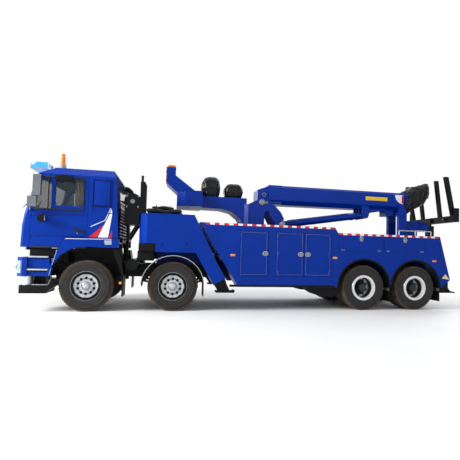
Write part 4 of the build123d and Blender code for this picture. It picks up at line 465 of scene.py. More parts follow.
for side, sign in SIDES:
    for number, s in enumerate(AXLES, 1):
        body = f"wheel_{number}_{side}"
        node = f"tyre_{number}_{side}"
        bm = bmesh.new()
        centres = (1.03,) if number < 3 else (1.065, 0.725)
        for out in centres:
            tyre(bm, spot(s, sign * out, WHEEL_Z))
        piece(f"treaded_{node}", bm, [rubber, tread], body, replaced=[node])
        bm = bmesh.new()
        hub = spot(s, 0, WHEEL_Z)
        if number < 3:
            cover = (
                (0.094, 1.158), (0.12, 1.160), (0.135, 1.152), (0.2, 1.150), (0.225, 1.156), (0.246, 1.158),
                (0.257, 1.150), (0.257, 1.145), (0.225, 1.146), (0.2, 1.140), (0.094, 1.142),
            )
            lathe(bm, cover, hub, sign, 120, 0, scallop)
            band = ((0.296, 1.160), (0.302, 1.172), (0.311, 1.174), (0.314, 1.168), (0.306, 1.160))
            lathe(bm, band, hub, sign, 96, 0)
            cap = ((0.001, 1.198), (0.055, 1.194), (0.078, 1.180), (0.086, 1.160), (0.001, 1.160))
            lathe(bm, cap, hub, sign, 48, 0)
            lathe(bm, ((0.060, 1.190), (0.064, 1.197), (0.070, 1.193), (0.066, 1.186)), hub, sign, 48, 1)
            # The cover's holes are black discs, painted shade where the rim would show through
            dark = hub + outward(sign, 1.1525)
            for k in range(10):
                turn = 2 * math.pi * (k + 0.5) / 10
                hole = dark + Vector((math.cos(turn), 0, math.sin(turn))) * NUT_CIRCLE
                rod(bm, hole - outward(sign, 0.01), hole + outward(sign, 0.0015), 0.031, 20, 2)
            nuts(bm, steel, 10, NUT_CIRCLE, (0.0165, 0.024), dark + outward(sign, 0.006))
            looks = [silver, steel, black]
        else:
            band = (
                (0.297, 1.200), (0.298, 1.213), (0.303, 1.217),
                (0.309, 1.211), (0.311, 1.200), (0.303, 1.190),
            )
            lathe(bm, band, hub, sign, 96, 0)
            # Dark lining in the depth of the barrel, painted shade
            dust_and_shade = ((0.2445, 1.128), (0.2475, 1.128), (0.2475, 0.968), (0.2445, 0.968))
            lathe(bm, dust_and_shade, hub, sign, 96, 2)
            # Oily hub and the nuts of the dished disc
            cap = ((0.001, 1.120), (0.07, 1.116), (0.095, 1.09), (0.105, 1.02), (0.118, 0.96), (0.001, 0.96))
            lathe(bm, cap, hub, sign, 40, 1)
            nuts(bm, cast, 8, 0.082, (0.008, 0.014), hub + outward(sign, 1.108))
            nuts(bm, cast, 10, NUT_CIRCLE, (0.017, 0.05), hub + outward(sign, 0.905))
            looks = [silver, cast, dish]
        piece(f"wheel_dress_{number}_{side}", bm, looks, body)


def rim_face(s, y, z, n):
    """Bright flange, and a barrel made lighter as a painted highlight, round the dish darkened as painted
    shade on the twin wheels; black painted shade in the gap of the steered ones.
    """
    centre = min(AXLES, key=lambda axle: abs(axle - s))
    r = math.hypot(s - centre, z - WHEEL_Z)
    if centre > 3:
        return 0 if r > 0.296 else 3 if r > 0.226 else 1
    # Black between the hub and the flange of the steered rims: painted shade in the rim's well
    return 0 if r > 0.292 or r < 0.1 else 2


for side, sign in SIDES:
    for number in range(1, 5):
        paint(f"rim_{number}_{side}", [silver, dish, black, barrel], rim_face)

# Cab: trim, stripes, steps, lamps and what shows through the windows

CAB_SIDE = 1.225
DOOR_SIDE = 1.237
DECAL = 0.0025
FENDER_SIDE = 1.25


def decal(bm, outline, face, sign, look=0, proud=DECAL):
    """A thin film or plate on a side that faces out at that distance from the middle."""
    prism(bm, outline, (sign * (face - 0.004), sign * (face + proud)), look)


def strip(bm, line, width, face, sign, look=0, proud=DECAL):
    """A band of even width along a line of (behind the first axle, height)."""
    for (s0, z0), (s1, z1) in zip(line, line[1:]):
        length = math.hypot(s1 - s0, z1 - z0)
        ds, dz = -(z1 - z0) / length * width / 2, (s1 - s0) / length * width / 2
        outline = ((s0 + ds, z0 + dz), (s1 + ds, z1 + dz), (s1 - ds, z1 - dz), (s0 - ds, z0 - dz))
        decal(bm, outline, face, sign, look, proud)


def frame_of(bm, s, z, wall, face, sign, look=0, proud=0.006):
    """A rectangular surround, such as a seal."""
    half = wall / 2
    corners = oblong(s, z)
    for a, b in zip(corners, corners[1:] + corners[:1]):
        across = (min(a[0], b[0]) - half, max(a[0], b[0]) + half)
        upward = (min(a[1], b[1]) - half, max(a[1], b[1]) + half)
        decal(bm, oblong(across, upward), face, sign, look, proud)


for side, sign in SIDES:
    cab = bmesh.new()
    # Slanted stripes behind the door, the thin line beside them and the small flash below
    decal(cab, ((0.017, 1.571), (0.177, 1.576), (0.355, 1.895), (0.299, 1.83)), CAB_SIDE, sign)
    long_stripe = ((0.206, 1.577), (0.412, 1.584), (0.481, 2.105), (0.462, 2.199), (0.436, 2.103))
    decal(cab, long_stripe, CAB_SIDE, sign, 1)
    strip(cab, ((0.051, 1.805), (0.338, 1.948), (0.447, 2.214)), 0.012, CAB_SIDE, sign, 1)
    decal(cab, ((0.43, 1.575), (0.492, 1.577), (0.486, 1.743)), CAB_SIDE, sign, 0, DECAL * 1.6)
    piece(f"cab_stripes_{side}", cab, [signal_red, white], "cab")
    cab = bmesh.new()
    # Pressed panel with its seam where a sleeper window would be, and the swage at the waist
    frame_of(cab, (0.077, 0.445), (2.245, 2.813), 0.018, CAB_SIDE, sign, 1, 0.004)
    decal(cab, oblong((0.105, 0.417), (2.273, 2.785)), CAB_SIDE, sign, 0, 0.008)
    strip(cab, ((0.02, 2.10), (0.60, 2.10)), 0.018, CAB_SIDE, sign, 0, 0.006)
    # Black foot of the cab behind the door
    strip(cab, ((0.0, 1.572), (0.60, 1.574)), 0.016, CAB_SIDE, sign, 1, 0.004)
    piece(f"sleeper_panel_{side}", cab, [blue, black], "cab", bevel=0.0025)
    door = bmesh.new()
    frame_of(door, (-1.042, -0.103), (2.145, 2.82), 0.022, DOOR_SIDE, sign, 0, 0.004)
    # Window bar, guide rail and weather strip
    strip(door, ((-1.05, 2.138), (-0.095, 2.138)), 0.03, DOOR_SIDE, sign, 0, 0.006)
    strip(door, ((-0.79, 2.15), (-0.79, 2.80)), 0.022, DOOR_SIDE, sign, 0, 0.003)
    strip(door, ((-1.085, 1.349), (-0.022, 1.349)), 0.03, DOOR_SIDE, sign, 0, 0.008)
    # Recess behind the handle, the handle's bar and its lock
    decal(door, ((-0.285, 1.768), (-0.044, 1.70), (-0.05, 1.655), (-0.295, 1.725)), DOOR_SIDE, sign, 0, 0.003)
    bar = DOOR_SIDE + 0.028
    tube(door, [spot(-0.275, sign * y, 1.745) for y in (DOOR_SIDE, bar)], 0.011, 8)
    grip = ((-0.29, 1.752), (-0.17, 1.718), (-0.05, 1.682))
    tube(door, [spot(s, sign * bar, z) for s, z in grip], 0.0125, 8)
    tube(door, [spot(-0.065, sign * y, 1.684) for y in (DOOR_SIDE, bar)], 0.011, 8)
    pin(door, -0.2, 1.655, (sign * (DOOR_SIDE - 0.003), sign * (DOOR_SIDE + 0.006)), 0.016, 16, 1)
    # Pressed swages of the door
    strip(door, ((-1.065, 2.0214), (-0.04, 2.055)), 0.012, DOOR_SIDE, sign, 2, 0.005)
    strip(door, ((-1.065, 1.60), (-0.04, 1.60)), 0.012, DOOR_SIDE, sign, 2, 0.005)
    piece(f"door_trim_{side}", door, [seal, steel, blue], f"cab_door_{side}", bevel=0.002)
    glasses = bmesh.new()
    for rear, heights in ((-0.915, (2.42, 2.81)), (-0.985, (2.185, 2.365))):
        s = rear + 0.0155
        block(glasses, (s - 0.004, s + 0.002), (sign * 1.338, sign * 1.392), heights)
    rod(glasses, spot(-0.795, sign * 1.36, 1.94), spot(-0.786, sign * 1.36, 1.94), 0.068, 28)
    piece(f"mirror_faces_{side}", glasses, [mirror_face], f"cab_door_{side}")
    # Steps: bright edges, rails of the hanging lower step, and the pale drum ahead of it
    steps = bmesh.new()
    for s0, s1, z0, z1 in ((-1.118, -0.735, 1.13, 1.16), (-1.134, -0.735, 0.866, 0.895)):
        block(steps, (s0, s1), (sign * 1.2, sign * 1.243), (z0, z1))
    rail = (
        (-1.05, 1.0, 0.18), (-1.045, 1.19, 0.02), (-1.03, 1.205, 0.0),
        (-0.74, 1.205, 0.0), (-0.725, 1.19, 0.02), (-0.72, 1.0, 0.18),
    )
    for z in (0.53, 0.565):
        tube(steps, [spot(s, sign * y, z + dz) for s, y, dz in rail], 0.011, 8)
    bolts(steps, silver, 9, (0.006, 0.03), sign * 1.232, (-1.09, 1.145), (-0.76, 1.145))
    for s in (-1.03, -0.75):
        block(steps, (s - 0.02, s + 0.02), (sign * 1.19, sign * 1.204), (0.56, 0.84), 2)
    drum = (((0.565, 0.752), 0.075, 1), ((0.555, 0.575), 0.08, 0), ((0.738, 0.7395), 0.08, 0))
    for heights, radius, look in drum:
        post(steps, -1.15, sign * 1.14, heights, radius, 28, look)
    piece(f"step_edges_{side}", steps, [silver, white, black], "chassis", bevel=0.0015)
    # Black box below the bumper with its slanted end
    low = bmesh.new()
    foot = ((-1.262, 0.392), (-0.79, 0.392), (-0.53, 0.585), (-0.60, 0.60), (-0.80, 0.552), (-1.262, 0.552))
    prism(low, foot, (sign * 1.0, sign * 1.236))
    piece(f"step_box_{side}", low, [black], "chassis", bevel=0.012)
    # Painted lines along the fender and its small reflector
    lines = bmesh.new()
    strip(lines, ((-0.43, 1.535), (0.487, 1.548)), 0.010, FENDER_SIDE, sign)
    strip(lines, ((-0.575, 1.30), (-0.71, 0.77)), 0.008, FENDER_SIDE, sign, 3)
    decal(lines, ((0.345, 1.52), (0.492, 1.525), (0.492, 1.432), (0.36, 1.428)), FENDER_SIDE, sign, 3)
    for k in range(5):
        bar = ((0.352 + 0.002 * k, 1.445 + 0.016 * k), (0.488, 1.447 + 0.016 * k))
        strip(lines, bar, 0.006, FENDER_SIDE, sign, 3, 0.006)
    strip(lines, arc(0.0, 0.62, 0.742, range(158, 94, -4)), 0.012, FENDER_SIDE, sign, 1, 0.008)
    pin(lines, 0.70, 0.62, (sign * 1.236, sign * 1.246), 0.03, 20, 2)
    piece(f"fender_lines_{side}", lines, [white, black, amber, ribbed], "chassis")

# Black block in the well above the steps, below the floor of the cab: painted shade
well = bmesh.new()
for side, sign in SIDES:
    block(well, (-1.12, -0.60), (sign * 0.72, sign * 1.16), (1.155, 1.325))
piece("step_well_shade", well, [black], "chassis", bevel=0.01)

# Front of the cab: grille bars, wipers, rings of the headlamps and blank plates
front = bmesh.new()
for k in range(7):
    z = 1.33 + k * 0.066
    block(front, (-1.318, -1.296), (-0.78, 0.78), (z, z + 0.03))
for y in (-0.80, 0.78):
    block(front, (-1.322, -1.296), (y, y + 0.02), (1.30, 1.80))
block(front, (-1.306, -1.297), (-0.79, 0.79), (1.29, 1.82), 1)
for z in (1.28, 1.80):
    block(front, (-1.322, -1.296), (-0.80, 0.80), (z, z + 0.02))
piece("grille_bars", front, [steel, black], "cab", bevel=0.003)
wipers = bmesh.new()
for y in (-0.62, 0.02, 0.66):
    foot = spot(-1.302, y, 2.02)
    tube(wipers, [foot, foot + Vector((-0.02, 0, 0.02)), spot(-1.262, y - 0.30, 2.30)], 0.009, 8)
    blade = [spot(-1.272, y - 0.55, 2.16), spot(-1.266, y - 0.30, 2.30), spot(-1.258, y - 0.08, 2.44)]
    tube(wipers, blade, 0.008, 6)
    rod(wipers, foot + Vector((0.02, 0, 0)), foot - Vector((0.012, 0, 0)), 0.022, 16)
piece("wipers", wipers, [seal], "cab")
lamps = bmesh.new()
for side, sign in SIDES:
    for y in (0.95, 1.08):
        lamp = spot(-1.376, sign * y, 0.93)
        rod(lamps, lamp + Vector((0.006, 0, 0)), lamp - Vector((0.004, 0, 0)), 0.055, 28)
        rod(lamps, lamp - Vector((0.003, 0, 0)), lamp - Vector((0.007, 0, 0)), 0.046, 28, 1)
    block(lamps, (-1.358, -1.346), (sign * 0.50, sign * 0.72), (0.90, 0.97), 2)
piece("headlamp_rings", lamps, [chrome, lens, amber], "chassis", bevel=0.002)
plates = bmesh.new()
block(plates, (-1.349, -1.343), (-0.25, 0.25), (0.838, 0.942))
block(plates, (8.698, 8.706), (-0.25, 0.25), (0.74, 0.84))
piece("blank_plates", plates, [plate_white], "chassis", bevel=0.001)

# Roof: ribs, the light bar's frame and the finishes of the lamps and mirrors
roof = bmesh.new()
for y in (-0.72, -0.36, 0.0, 0.36, 0.72):
    block(roof, (-0.45, 0.45), (y - 0.02, y + 0.02), (3.040, 3.054))
piece("roof_ribs", roof, [blue], "cab", bevel=0.006)
bar = bmesh.new()
for y in (-0.56, 0.0, 0.54):
    block(bar, (-1.218, -0.857), (y - 0.004, y + 0.022), (3.002, 3.143))
for y in (-0.84, -0.28, 0.28, 0.84):
    for s in (-1.217, -0.861):
        block(bar, (s, s + 0.003), (y - 0.20, y + 0.20), (3.05, 3.115), 1)
piece("light_bar_frame", bar, [black, lens], "cab", bevel=0.002)


def lamp_face(s, y, z, n):
    if s > -0.70:
        return 1 if z > 3.115 else 2
    return 0


paint("roof_lamps", [sky, amber, grey_rubber], lamp_face)


def mirror_part(s, y, z, n):
    if s > -0.66 and z > 2.7 or z < 2.05 and abs(y) > 1.32:
        return 1
    return 0 if abs(y) > 1.325 and s < -0.88 else 1


for side, sign in SIDES:
    paint(f"mirrors_{side}", [housing, black], mirror_part)


# The cab's rear wall gets a darker, dull blue: painted shade
def shell_face(s, y, z, n):
    return 1 if n.x > 0.6 and s > 0.5 else 0


paint("cab_shell", [blue, wall], shell_face)

# Rear wall of the cab: slanted louvres, and the intake's drum with its clips, bands and hose
louvres = bmesh.new()
for k in range(11):
    z = 1.62 + k * 0.07
    for y0, y1 in ((-1.16, -0.72), (-0.62, 0.62), (0.72, 1.16)):
        prism(louvres, ((0.617, z), (0.640, z - 0.03), (0.646, z - 0.024), (0.617, z + 0.014)), (y0, y1))
for z in (2.44, 2.76):
    block(louvres, (0.56, 0.628), (-0.62, 0.62), (z, z + 0.02))
piece("rear_wall_louvres", louvres, [black], "cab", bevel=0.001)
intake = bmesh.new()
DRUM_S, DRUM_Z = 0.878, 2.40
pin(intake, DRUM_S, DRUM_Z, (-1.128, -1.118), 0.172, 40)
pin(intake, DRUM_S, DRUM_Z, (-1.134, -1.12), 0.05, 24, 1)
for k in range(4):
    turn = math.radians(45 + 90 * k)
    clip = spot(DRUM_S + 0.168 * math.cos(turn), -1.115, DRUM_Z + 0.168 * math.sin(turn))
    s, z = clip.x - AXLE, clip.z
    block(intake, (s - 0.015, s + 0.015), (-1.135, -1.09), (z - 0.022, z + 0.022), 1)
for y in (-1.0, -0.84, -0.68):
    outline = ((0.176, -y - 0.008), (0.186, -y - 0.006), (0.186, -y + 0.006), (0.176, -y + 0.008))
    lathe(intake, outline, spot(DRUM_S, 0, DRUM_Z), -1, 48, 0)
# Hose from the drum's top to the cab's wall
hose = ((0.83, 2.56), (0.79, 2.66), (0.72, 2.72), (0.66, 2.73))
tube(intake, [spot(s, -0.66, z) for s, z in hose], 0.055, 16)
piece("intake_dress", intake, [black, steel], "chassis", bevel=0.0015)

# Inside the cab: seats and cream curtains
for side, sign in SIDES:
    seat = bmesh.new()
    cushions = (
        (-0.62, -0.08, 1.70, 1.88, 0.25),
        (-0.26, -0.06, 1.86, 2.50, 0.25),
        (-0.24, -0.08, 2.50, 2.72, 0.14),
    )
    for s0, s1, z0, z1, wide in cushions:
        block(seat, (s0, s1), (sign * (0.68 - wide), sign * (0.68 + wide)), (z0, z1))
    bmesh.ops.subdivide_edges(seat, edges=list(seat.edges), cuts=5, use_grid_fill=True)
    made = piece(f"seat_{side}", seat, [cream], "cab")
    for vertex in made.data.vertices:
        p = vertex.co
        p.x += 0.008 * math.sin(22 * p.z + sign)
        p.y += 0.006 * math.sin(26 * p.z)


def cloth_object(name, bm, look, thickness, body):
    """Gives a cloth its thickness, lets it ride on its body and measures it."""
    for face in bm.faces:
        face.smooth = True
    obj = mesh_object(name, bm, [look])
    thick = obj.modifiers.new("thickness", "SOLIDIFY")
    thick.thickness = thickness
    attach(obj, body)
    return obj, sum(face.area for face in obj.data.polygons)


def hung_cloth(name, columns, rows, place, look, body):
    """A curtain gathered on its rail: a grid of points, given a thickness."""
    bm = bmesh.new()
    grid = [[bm.verts.new(place(i / columns, j / rows)) for i in range(columns + 1)] for j in range(rows + 1)]
    for a, b in zip(grid, grid[1:]):
        for i in range(columns):
            bm.faces.new((a[i], a[i + 1], b[i + 1], b[i]))
    obj, area = cloth_object(name, bm, look, 0.002, body)


for side, sign in SIDES:

    def curtain(u, v, sign=sign):
        wave = math.sin(2 * math.pi * 7 * u + 0.4 * math.sin(5 * v))
        s = between(-0.30, -0.06, u) + 0.006 * math.sin(9 * v + 20 * u)
        return spot(s, sign * (1.10 - 0.02 * v - (0.010 + 0.008 * v) * wave), between(2.78, 2.12, v))

    hung_cloth(f"curtain_{side}", 112, 14, curtain, cream, "cab")

# Side boxes: tape, markers, latches, hinges, rivets, edges and the rear lamps

BODY_SIDE = 1.25
LOCKER_DOOR_SIDE = 1.262
TAPE = (((2.47, 5.575), 1.971), ((5.69, 8.415), 1.840))


def oval(s, z, half_s, half_z, points=26):
    turns = [2 * math.pi * k / points for k in range(points)]
    return [(s + half_s * math.cos(t), z + half_z * math.sin(t)) for t in turns]


def latch(bm, s, z, face, sign, half=(0.068, 0.052)):
    """Oval pan with its folded ring handle."""
    decal(bm, oval(s, z, *half), face, sign, 0, 0.007)
    decal(bm, oval(s, z, half[0] * 0.72, half[1] * 0.68), face, sign, 1, 0.009)
    decal(bm, oval(s, z, half[0] * 0.34, half[1] * 0.34), face, sign, 0, 0.012)
    y = sign * (face + 0.012)
    handle = ((-0.032, 0.004), (-0.02, 0.018), (0.02, 0.018), (0.032, 0.004))
    tube(bm, [spot(s + ds, y, z - dz) for ds, dz in handle], 0.004, 6)


for side, sign in SIDES:
    tape = bmesh.new()
    for (start, end), z in TAPE:
        count = int((end - start) / 0.105)
        pitch = (end - start) / count
        for k in range(count):
            s = start + k * pitch
            decal(tape, oblong((s, s + pitch), (z - 0.022, z + 0.022)), BODY_SIDE, sign, k % 2, 0.002)
    piece(f"marker_tape_{side}", tape, [signal_red, white], "chassis")
    marks = bmesh.new()
    for s, z in ((3.113, 1.27), (5.595, 1.26), (8.30, 1.235)):
        decal(marks, oblong((s - 0.055, s + 0.055), (z - 0.024, z + 0.024)), BODY_SIDE, sign, 0, 0.014)
    piece(f"side_markers_{side}", marks, [amber], "chassis", bevel=0.005)
    pans = bmesh.new()
    for s in (6.28, 7.47):
        latch(pans, s, 1.742, BODY_SIDE, sign, (0.048, 0.066))
    for s in (5.80, 6.76, 7.0, 7.94):
        y = (sign * (BODY_SIDE - 0.004), sign * (BODY_SIDE + 0.006))
        block(pans, (s - 0.045, s + 0.045), y, (1.445, 1.475), 2)
        y = sign * (BODY_SIDE + 0.004)
        rod(pans, spot(s - 0.045, y, 1.452), spot(s + 0.045, y, 1.452), 0.009, 10, 2)
    piece(f"flap_latches_{side}", pans, [latch_grey, black, blue], "chassis", bevel=0.0015)
    doors = ((3.871, 3.275, (3.30, 3.90)), (4.727, 4.145, (4.155, 4.765)), (4.905, 5.475, (4.855, 5.46)))
    for number, (s, hinge_s, reach) in enumerate(doors, 1):
        pans = bmesh.new()
        latch(pans, s, 1.322, LOCKER_DOOR_SIDE, sign)
        for z in (0.865, 1.32, 1.78):
            out = sign * LOCKER_DOOR_SIDE
            inward = math.copysign(1, s - hinge_s)
            leaf = sorted((hinge_s + 0.016 * inward, hinge_s + 0.05 * inward))
            block(pans, leaf, (out - sign * 0.004, out + sign * 0.004), (z - 0.045, z + 0.045), 2)
        # Pressed edge of the door skin
        frame_of(pans, reach, (0.84, 1.80), 0.008, LOCKER_DOOR_SIDE, sign, 2, 0.0015)
        door = f"locker_door_{number}_{side}"
        piece(f"door_latch_{number}_{side}", pans, [latch_grey, black, blue], door, bevel=0.0012)
    # Rivets of the front box and of the leg's housing
    rivets = bmesh.new()
    rows = (
        ((1.10, 2.10), (2.14, 2.10), 13),
        ((1.45, 1.345), (2.30, 1.345), 9),
        ((1.075, 1.55), (1.075, 2.05), 7),
    )
    for a, b, count in rows:
        bolts(rivets, blue, count, (0.009, 0.012), sign * BODY_SIDE, a, b)
    for s, z in ((1.541, 1.466), (2.07, 1.481)):
        pin(rivets, s, z, (sign * 1.246, sign * 1.258), 0.018, 12, 1)
    piece(f"box_rivets_{side}", rivets, [blue, black], "chassis")
    # Light edge of the guard over the second steered axle
    edge = bmesh.new()
    strip(edge, arc(AXLES[1], WHEEL_Z, 0.683, range(4, 178, 3)), 0.014, 1.24, sign, 0, 0.006)
    piece(f"guard_edge_{side}", edge, [rubber_grey], "chassis")
    # Beads of the arches cut in the body
    arch = bmesh.new()
    for centre in DRIVEN:
        strip(arch, arc(centre, WHEEL_Z, 0.722, range(8, 173, 3)), 0.016, BODY_SIDE, sign, 0, 0.006)
    piece(f"arch_beads_{side}", arch, [blue], "chassis")
    # Dark lower edge of the boxes and the mud flaps' clamps
    foot = bmesh.new()
    block(foot, (3.06, 5.60), (sign * 1.19, sign * 1.2515), (0.552, 0.60))
    block(foot, (8.42, 8.60), (sign * 0.98, sign * 1.2515), (0.80, 0.86))
    for centre in DRIVEN:
        block(foot, (centre + 0.655, centre + 0.672), (sign * 0.76, sign * 1.24), (0.47, 0.55), 1)
    piece(f"skirt_edge_{side}", foot, [black, steel], "chassis", bevel=0.004)
    # Rear corner: triangle reflector, round lamps on the slanted end
    rear = bmesh.new()
    decal(rear, ((8.513, 0.803), (8.626, 0.904), (8.741, 0.765)), BODY_SIDE, sign, 0, 0.004)
    piece(f"corner_triangle_{side}", rear, [beige], "chassis")
    stern = bmesh.new()
    foot_point, top_point = (8.76, 0.76), (8.46, 1.865)
    length = math.hypot(0.3, 1.105)
    out_s, out_z = 1.105 / length, 0.3 / length
    for k, look in ((0.30, 1), (0.43, 2), (0.56, 1)):
        s, z = between(foot_point[0], top_point[0], k), between(foot_point[1], top_point[1], k)
        for reach, radius, finish in ((0.012, 0.062, 0), (0.03, 0.052, look)):
            inner = spot(s - 0.006 * out_s, sign * 1.12, z - 0.006 * out_z)
            outer = spot(s + reach * out_s, sign * 1.12, z + reach * out_z)
            rod(stern, inner, outer, radius, 28, finish)
    piece(f"rear_lamps_{side}", stern, [black, signal_red, amber], "chassis", bevel=0.003)

# Front box: rolled covers strapped to its top, and the steps below it
top = bmesh.new()
rolls = (
    (-0.93, 0.062, 1.22, 1.93),
    (-0.79, 0.07, 1.18, 1.80),
    (-0.63, 0.055, 1.25, 1.95),
    (-0.85, 0.05, 1.30, 1.75),
)
for k, (y, radius, s0, s1) in enumerate(rolls):
    # Three rolls lie on the box, and the last one on top of them
    z = 2.15 + radius if k < 3 else 2.30
    line = []
    for i in range(19):
        u = i / 18
        lift = 0.012 * math.sin(9 * u + k) - (0.02 if u in (0, 1) else 0)
        line.append(spot(between(s0, s1, u), y + 0.02 * math.sin(5 * u + 2 * k), z + lift))
    tube(top, line, radius, 14)
strap = ((-1.0, 2.156), (-0.985, 2.27), (-0.90, 2.352), (-0.78, 2.352), (-0.62, 2.285), (-0.56, 2.156))
for s in (1.36, 1.66):
    block(top, (s, s + 0.035), (-1.0, -0.56), (2.15, 2.157), 1)
    tube(top, [spot(s + 0.017, y, z) for y, z in strap], 0.012, 6, 1)
piece("rolled_covers", top, [cloth, black], "chassis")
step = bmesh.new()
for side, sign in SIDES:
    block(step, (1.047, 1.398), (sign * 0.62, sign * 1.235), (1.312, 1.486))
    block(step, (1.02, 1.36), (sign * 0.56, sign * 1.13), (1.105, 1.318))
    # Black inner walls over the driven wheels, painted shade in the arches
    block(step, (5.70, 8.45), (sign * 0.56, sign * 0.572), (0.985, 1.286))
    for s in DRIVEN:
        prism(step, arc(s, WHEEL_Z, 0.66, range(60, 121, 6)), (sign * 0.70, sign * 0.712))
    bolts(step, black, 8, (0.012, 0.01), sign * 1.236, (1.09, 1.326), (1.36, 1.326))
piece("box_steps_and_arch_shade", step, [black], "chassis", bevel=0.002)

# Boom, mast and rear gear

BOOM_SIDE = 0.30


def boom_face(s, y, z, n):
    return 1 if s > 8.035 else 0


paint("boom_base", [blue, black], boom_face)
paint("boom_inner", [blue, cast], lambda s, y, z, n: 1 if s > 8.5 else 0)
paint("turntable", [blue, black], lambda s, y, z, n: 1 if z < 1.805 and n.z < 0.5 else 0)
paint("underlift_slide", [black], lambda s, y, z, n: 0)
paint("underlift_arm", [black], lambda s, y, z, n: 0)
paint("chassis_fittings", [black, latch_grey], lambda s, y, z, n: 1 if s > 7.3 and z > 1.862 else 0)

for side, sign in SIDES:
    marks = bmesh.new()
    # White and red quarter discs near the boom's end
    centre = (8.005, 3.035)
    decal(marks, [centre] + arc(*centre, -0.25, range(0, 91, 9)), BOOM_SIDE, sign, 0, 0.002)
    decal(marks, ((7.955, 3.02), (8.005, 3.02), (8.005, 2.80), (7.955, 2.81)), BOOM_SIDE, sign, 1, 0.003)
    # Blank yellow label
    decal(marks, oblong((6.868, 7.517), (2.845, 2.945)), BOOM_SIDE, sign, 2, 0.003)
    piece(f"boom_marks_{side}", marks, [white, signal_red, yellow], "boom")
    seams = bmesh.new()
    strip(seams, ((4.20, 2.735), (7.98, 2.735)), 0.010, BOOM_SIDE, sign, 0, 0.004)
    collar = ((0.034, 0.33), (0.05, 0.33), (0.05, 0.30), (0.034, 0.30))
    lathe(seams, collar, spot(4.014, 0, 2.833), sign, 32, 1)
    piece(f"boom_seams_{side}", seams, [blue, steel], "boom", bevel=0.0015)
    # Pivot pin's cap with its keeper plate on the mast
    pins = bmesh.new()
    cap = ((0.001, 0.425), (0.05, 0.42), (0.075, 0.412), (0.082, 0.398), (0.001, 0.398))
    lathe(pins, cap, spot(3.96, 0, 2.62), sign, 40, 0)
    block(pins, (4.02, 4.10), (sign * 0.396, sign * 0.408), (2.60, 2.64))
    lathe(pins, cap, spot(4.5, 0, 2.075), sign, 40, 0)
    # Stiffeners welded along the mast's edges
    fore = ((3.60, 1.83), (3.60, 2.53), (3.85, 2.66), (3.90, 2.67))
    aft = ((4.28, 2.55), (4.45, 2.38), (4.53, 2.23), (4.50, 2.0), (4.48, 1.82))
    for edge in (fore, aft):
        strip(pins, edge, 0.016, 0.40, sign, 1, 0.01)
    piece(f"mast_pins_{side}", pins, [steel, blue], "turntable", bevel=0.002)

# Slewing ring's bolts and the lamps on the tail mast
ring = bmesh.new()
for k in range(40):
    turn = 2 * math.pi * k / 40
    at_ring = Vector((at(4.05) + 0.575 * math.cos(turn), 0.575 * math.sin(turn), 1.798))
    rod(ring, at_ring, at_ring + Vector((0, 0, 0.022)), 0.014, 6)
piece("ring_bolts", ring, [steel], "turntable")
tail = bmesh.new()
block(tail, (1.60, 1.775), (-0.306, 0.306), (3.385, 3.405), 1)
block(tail, (1.595, 1.78), (-0.304, 0.304), (3.40, 3.44))
for sign in (-1, 1):
    for z, look in ((3.08, 2), (3.18, 0), (3.28, 2)):
        rod(tail, spot(1.578, sign * 0.2, z), spot(1.548, sign * 0.2, z), 0.038, 20, look)
piece("mast_lamps", tail, [amber, black, signal_red], "turntable", bevel=0.004)

# Lift rams: collars, glands and the hoses' pipes along the barrels
ram_start, ram_end = spot(4.5, 0, 2.075), spot(6.88, 0, 2.44)
along = (ram_end - ram_start).normalized()
collars = bmesh.new()
for y in (-0.17, 0.17):
    base = ram_start + Vector((0, y, 0))
    for far, radius, length in ((0.12, 0.09, 0.05), (1.05, 0.086, 0.03), (2.16, 0.094, 0.07)):
        rod(collars, base + along * far, base + along * (far + length), radius, 32, 2)
    up_side = Vector((-along.z, 0, along.x))
    bends = ((0.2, 0.075), (0.22, 0.098), (2.1, 0.098), (2.14, 0.08))
    tube(collars, [base + along * far + up_side * out for far, out in bends], 0.011, 8, 1)
piece("ram_collars", collars, [blue, steel, blue], "lift_barrels", bevel=0.002)

# Pins of the crossbar at the tail
fork = bmesh.new()
for side, sign in SIDES:
    pin(fork, 9.05, 2.375, (sign * 0.62, sign * 0.60), 0.05, 24, 1)
piece("fork_notches", fork, [cast, steel], "crossbar", bevel=0.003)

# Rear board: lamp clusters and sill
sill = bmesh.new()
for side, sign in SIDES:
    block(sill, (8.697, 8.712), (sign * 0.36, sign * 0.62), (0.845, 0.935))
    for k, look in ((0.40, 1), (0.49, 2), (0.58, 1)):
        rod(sill, spot(8.708, sign * k, 0.89), spot(8.73, sign * k, 0.89), 0.034, 24, look)
piece("sill_lamps", sill, [black, signal_red, amber], "chassis", bevel=0.002)

# Deck: pipes in their clamps and the valve block with its levers
deck = bmesh.new()
for k in range(6):
    y = -0.36 + k * 0.045
    pipe = [spot(4.66, y, 1.32), spot(5.4, y, 1.33), spot(6.9, y * 0.8, 1.33), spot(7.9, y * 0.7, 1.32)]
    tube(deck, pipe, 0.012, 8)
for s in (5.0, 5.9, 6.8, 7.6):
    block(deck, (s, s + 0.04), (-0.40, -0.09), (1.30, 1.352), 1)
block(deck, (5.25, 5.62), (0.12, 0.48), (1.30, 1.50), 2)
for k in range(6):
    s = 5.285 + k * 0.055
    post(deck, s, 0.30, (1.50, 1.60), 0.006, 8, 1)
    post(deck, s, 0.30, (1.60, 1.625), 0.013, 10)
piece("deck_pipes", deck, [black, steel, silver], "chassis", bevel=0.0015)

# Shoes over the feet of the rear legs
shoe_side = ((8.50, 0.745), (8.735, 0.745), (8.735, 0.56), (8.80, 0.47), (8.47, 0.47), (8.50, 0.56))
for side, sign in SIDES:
    shoe = bmesh.new()
    prism(shoe, shoe_side, (sign * 1.03, sign * 1.205))
    piece(f"rear_shoe_{side}", shoe, [black], f"leg_rear_{side}", bevel=0.006)

# Cloth tied down over the two winches and over the boom's head

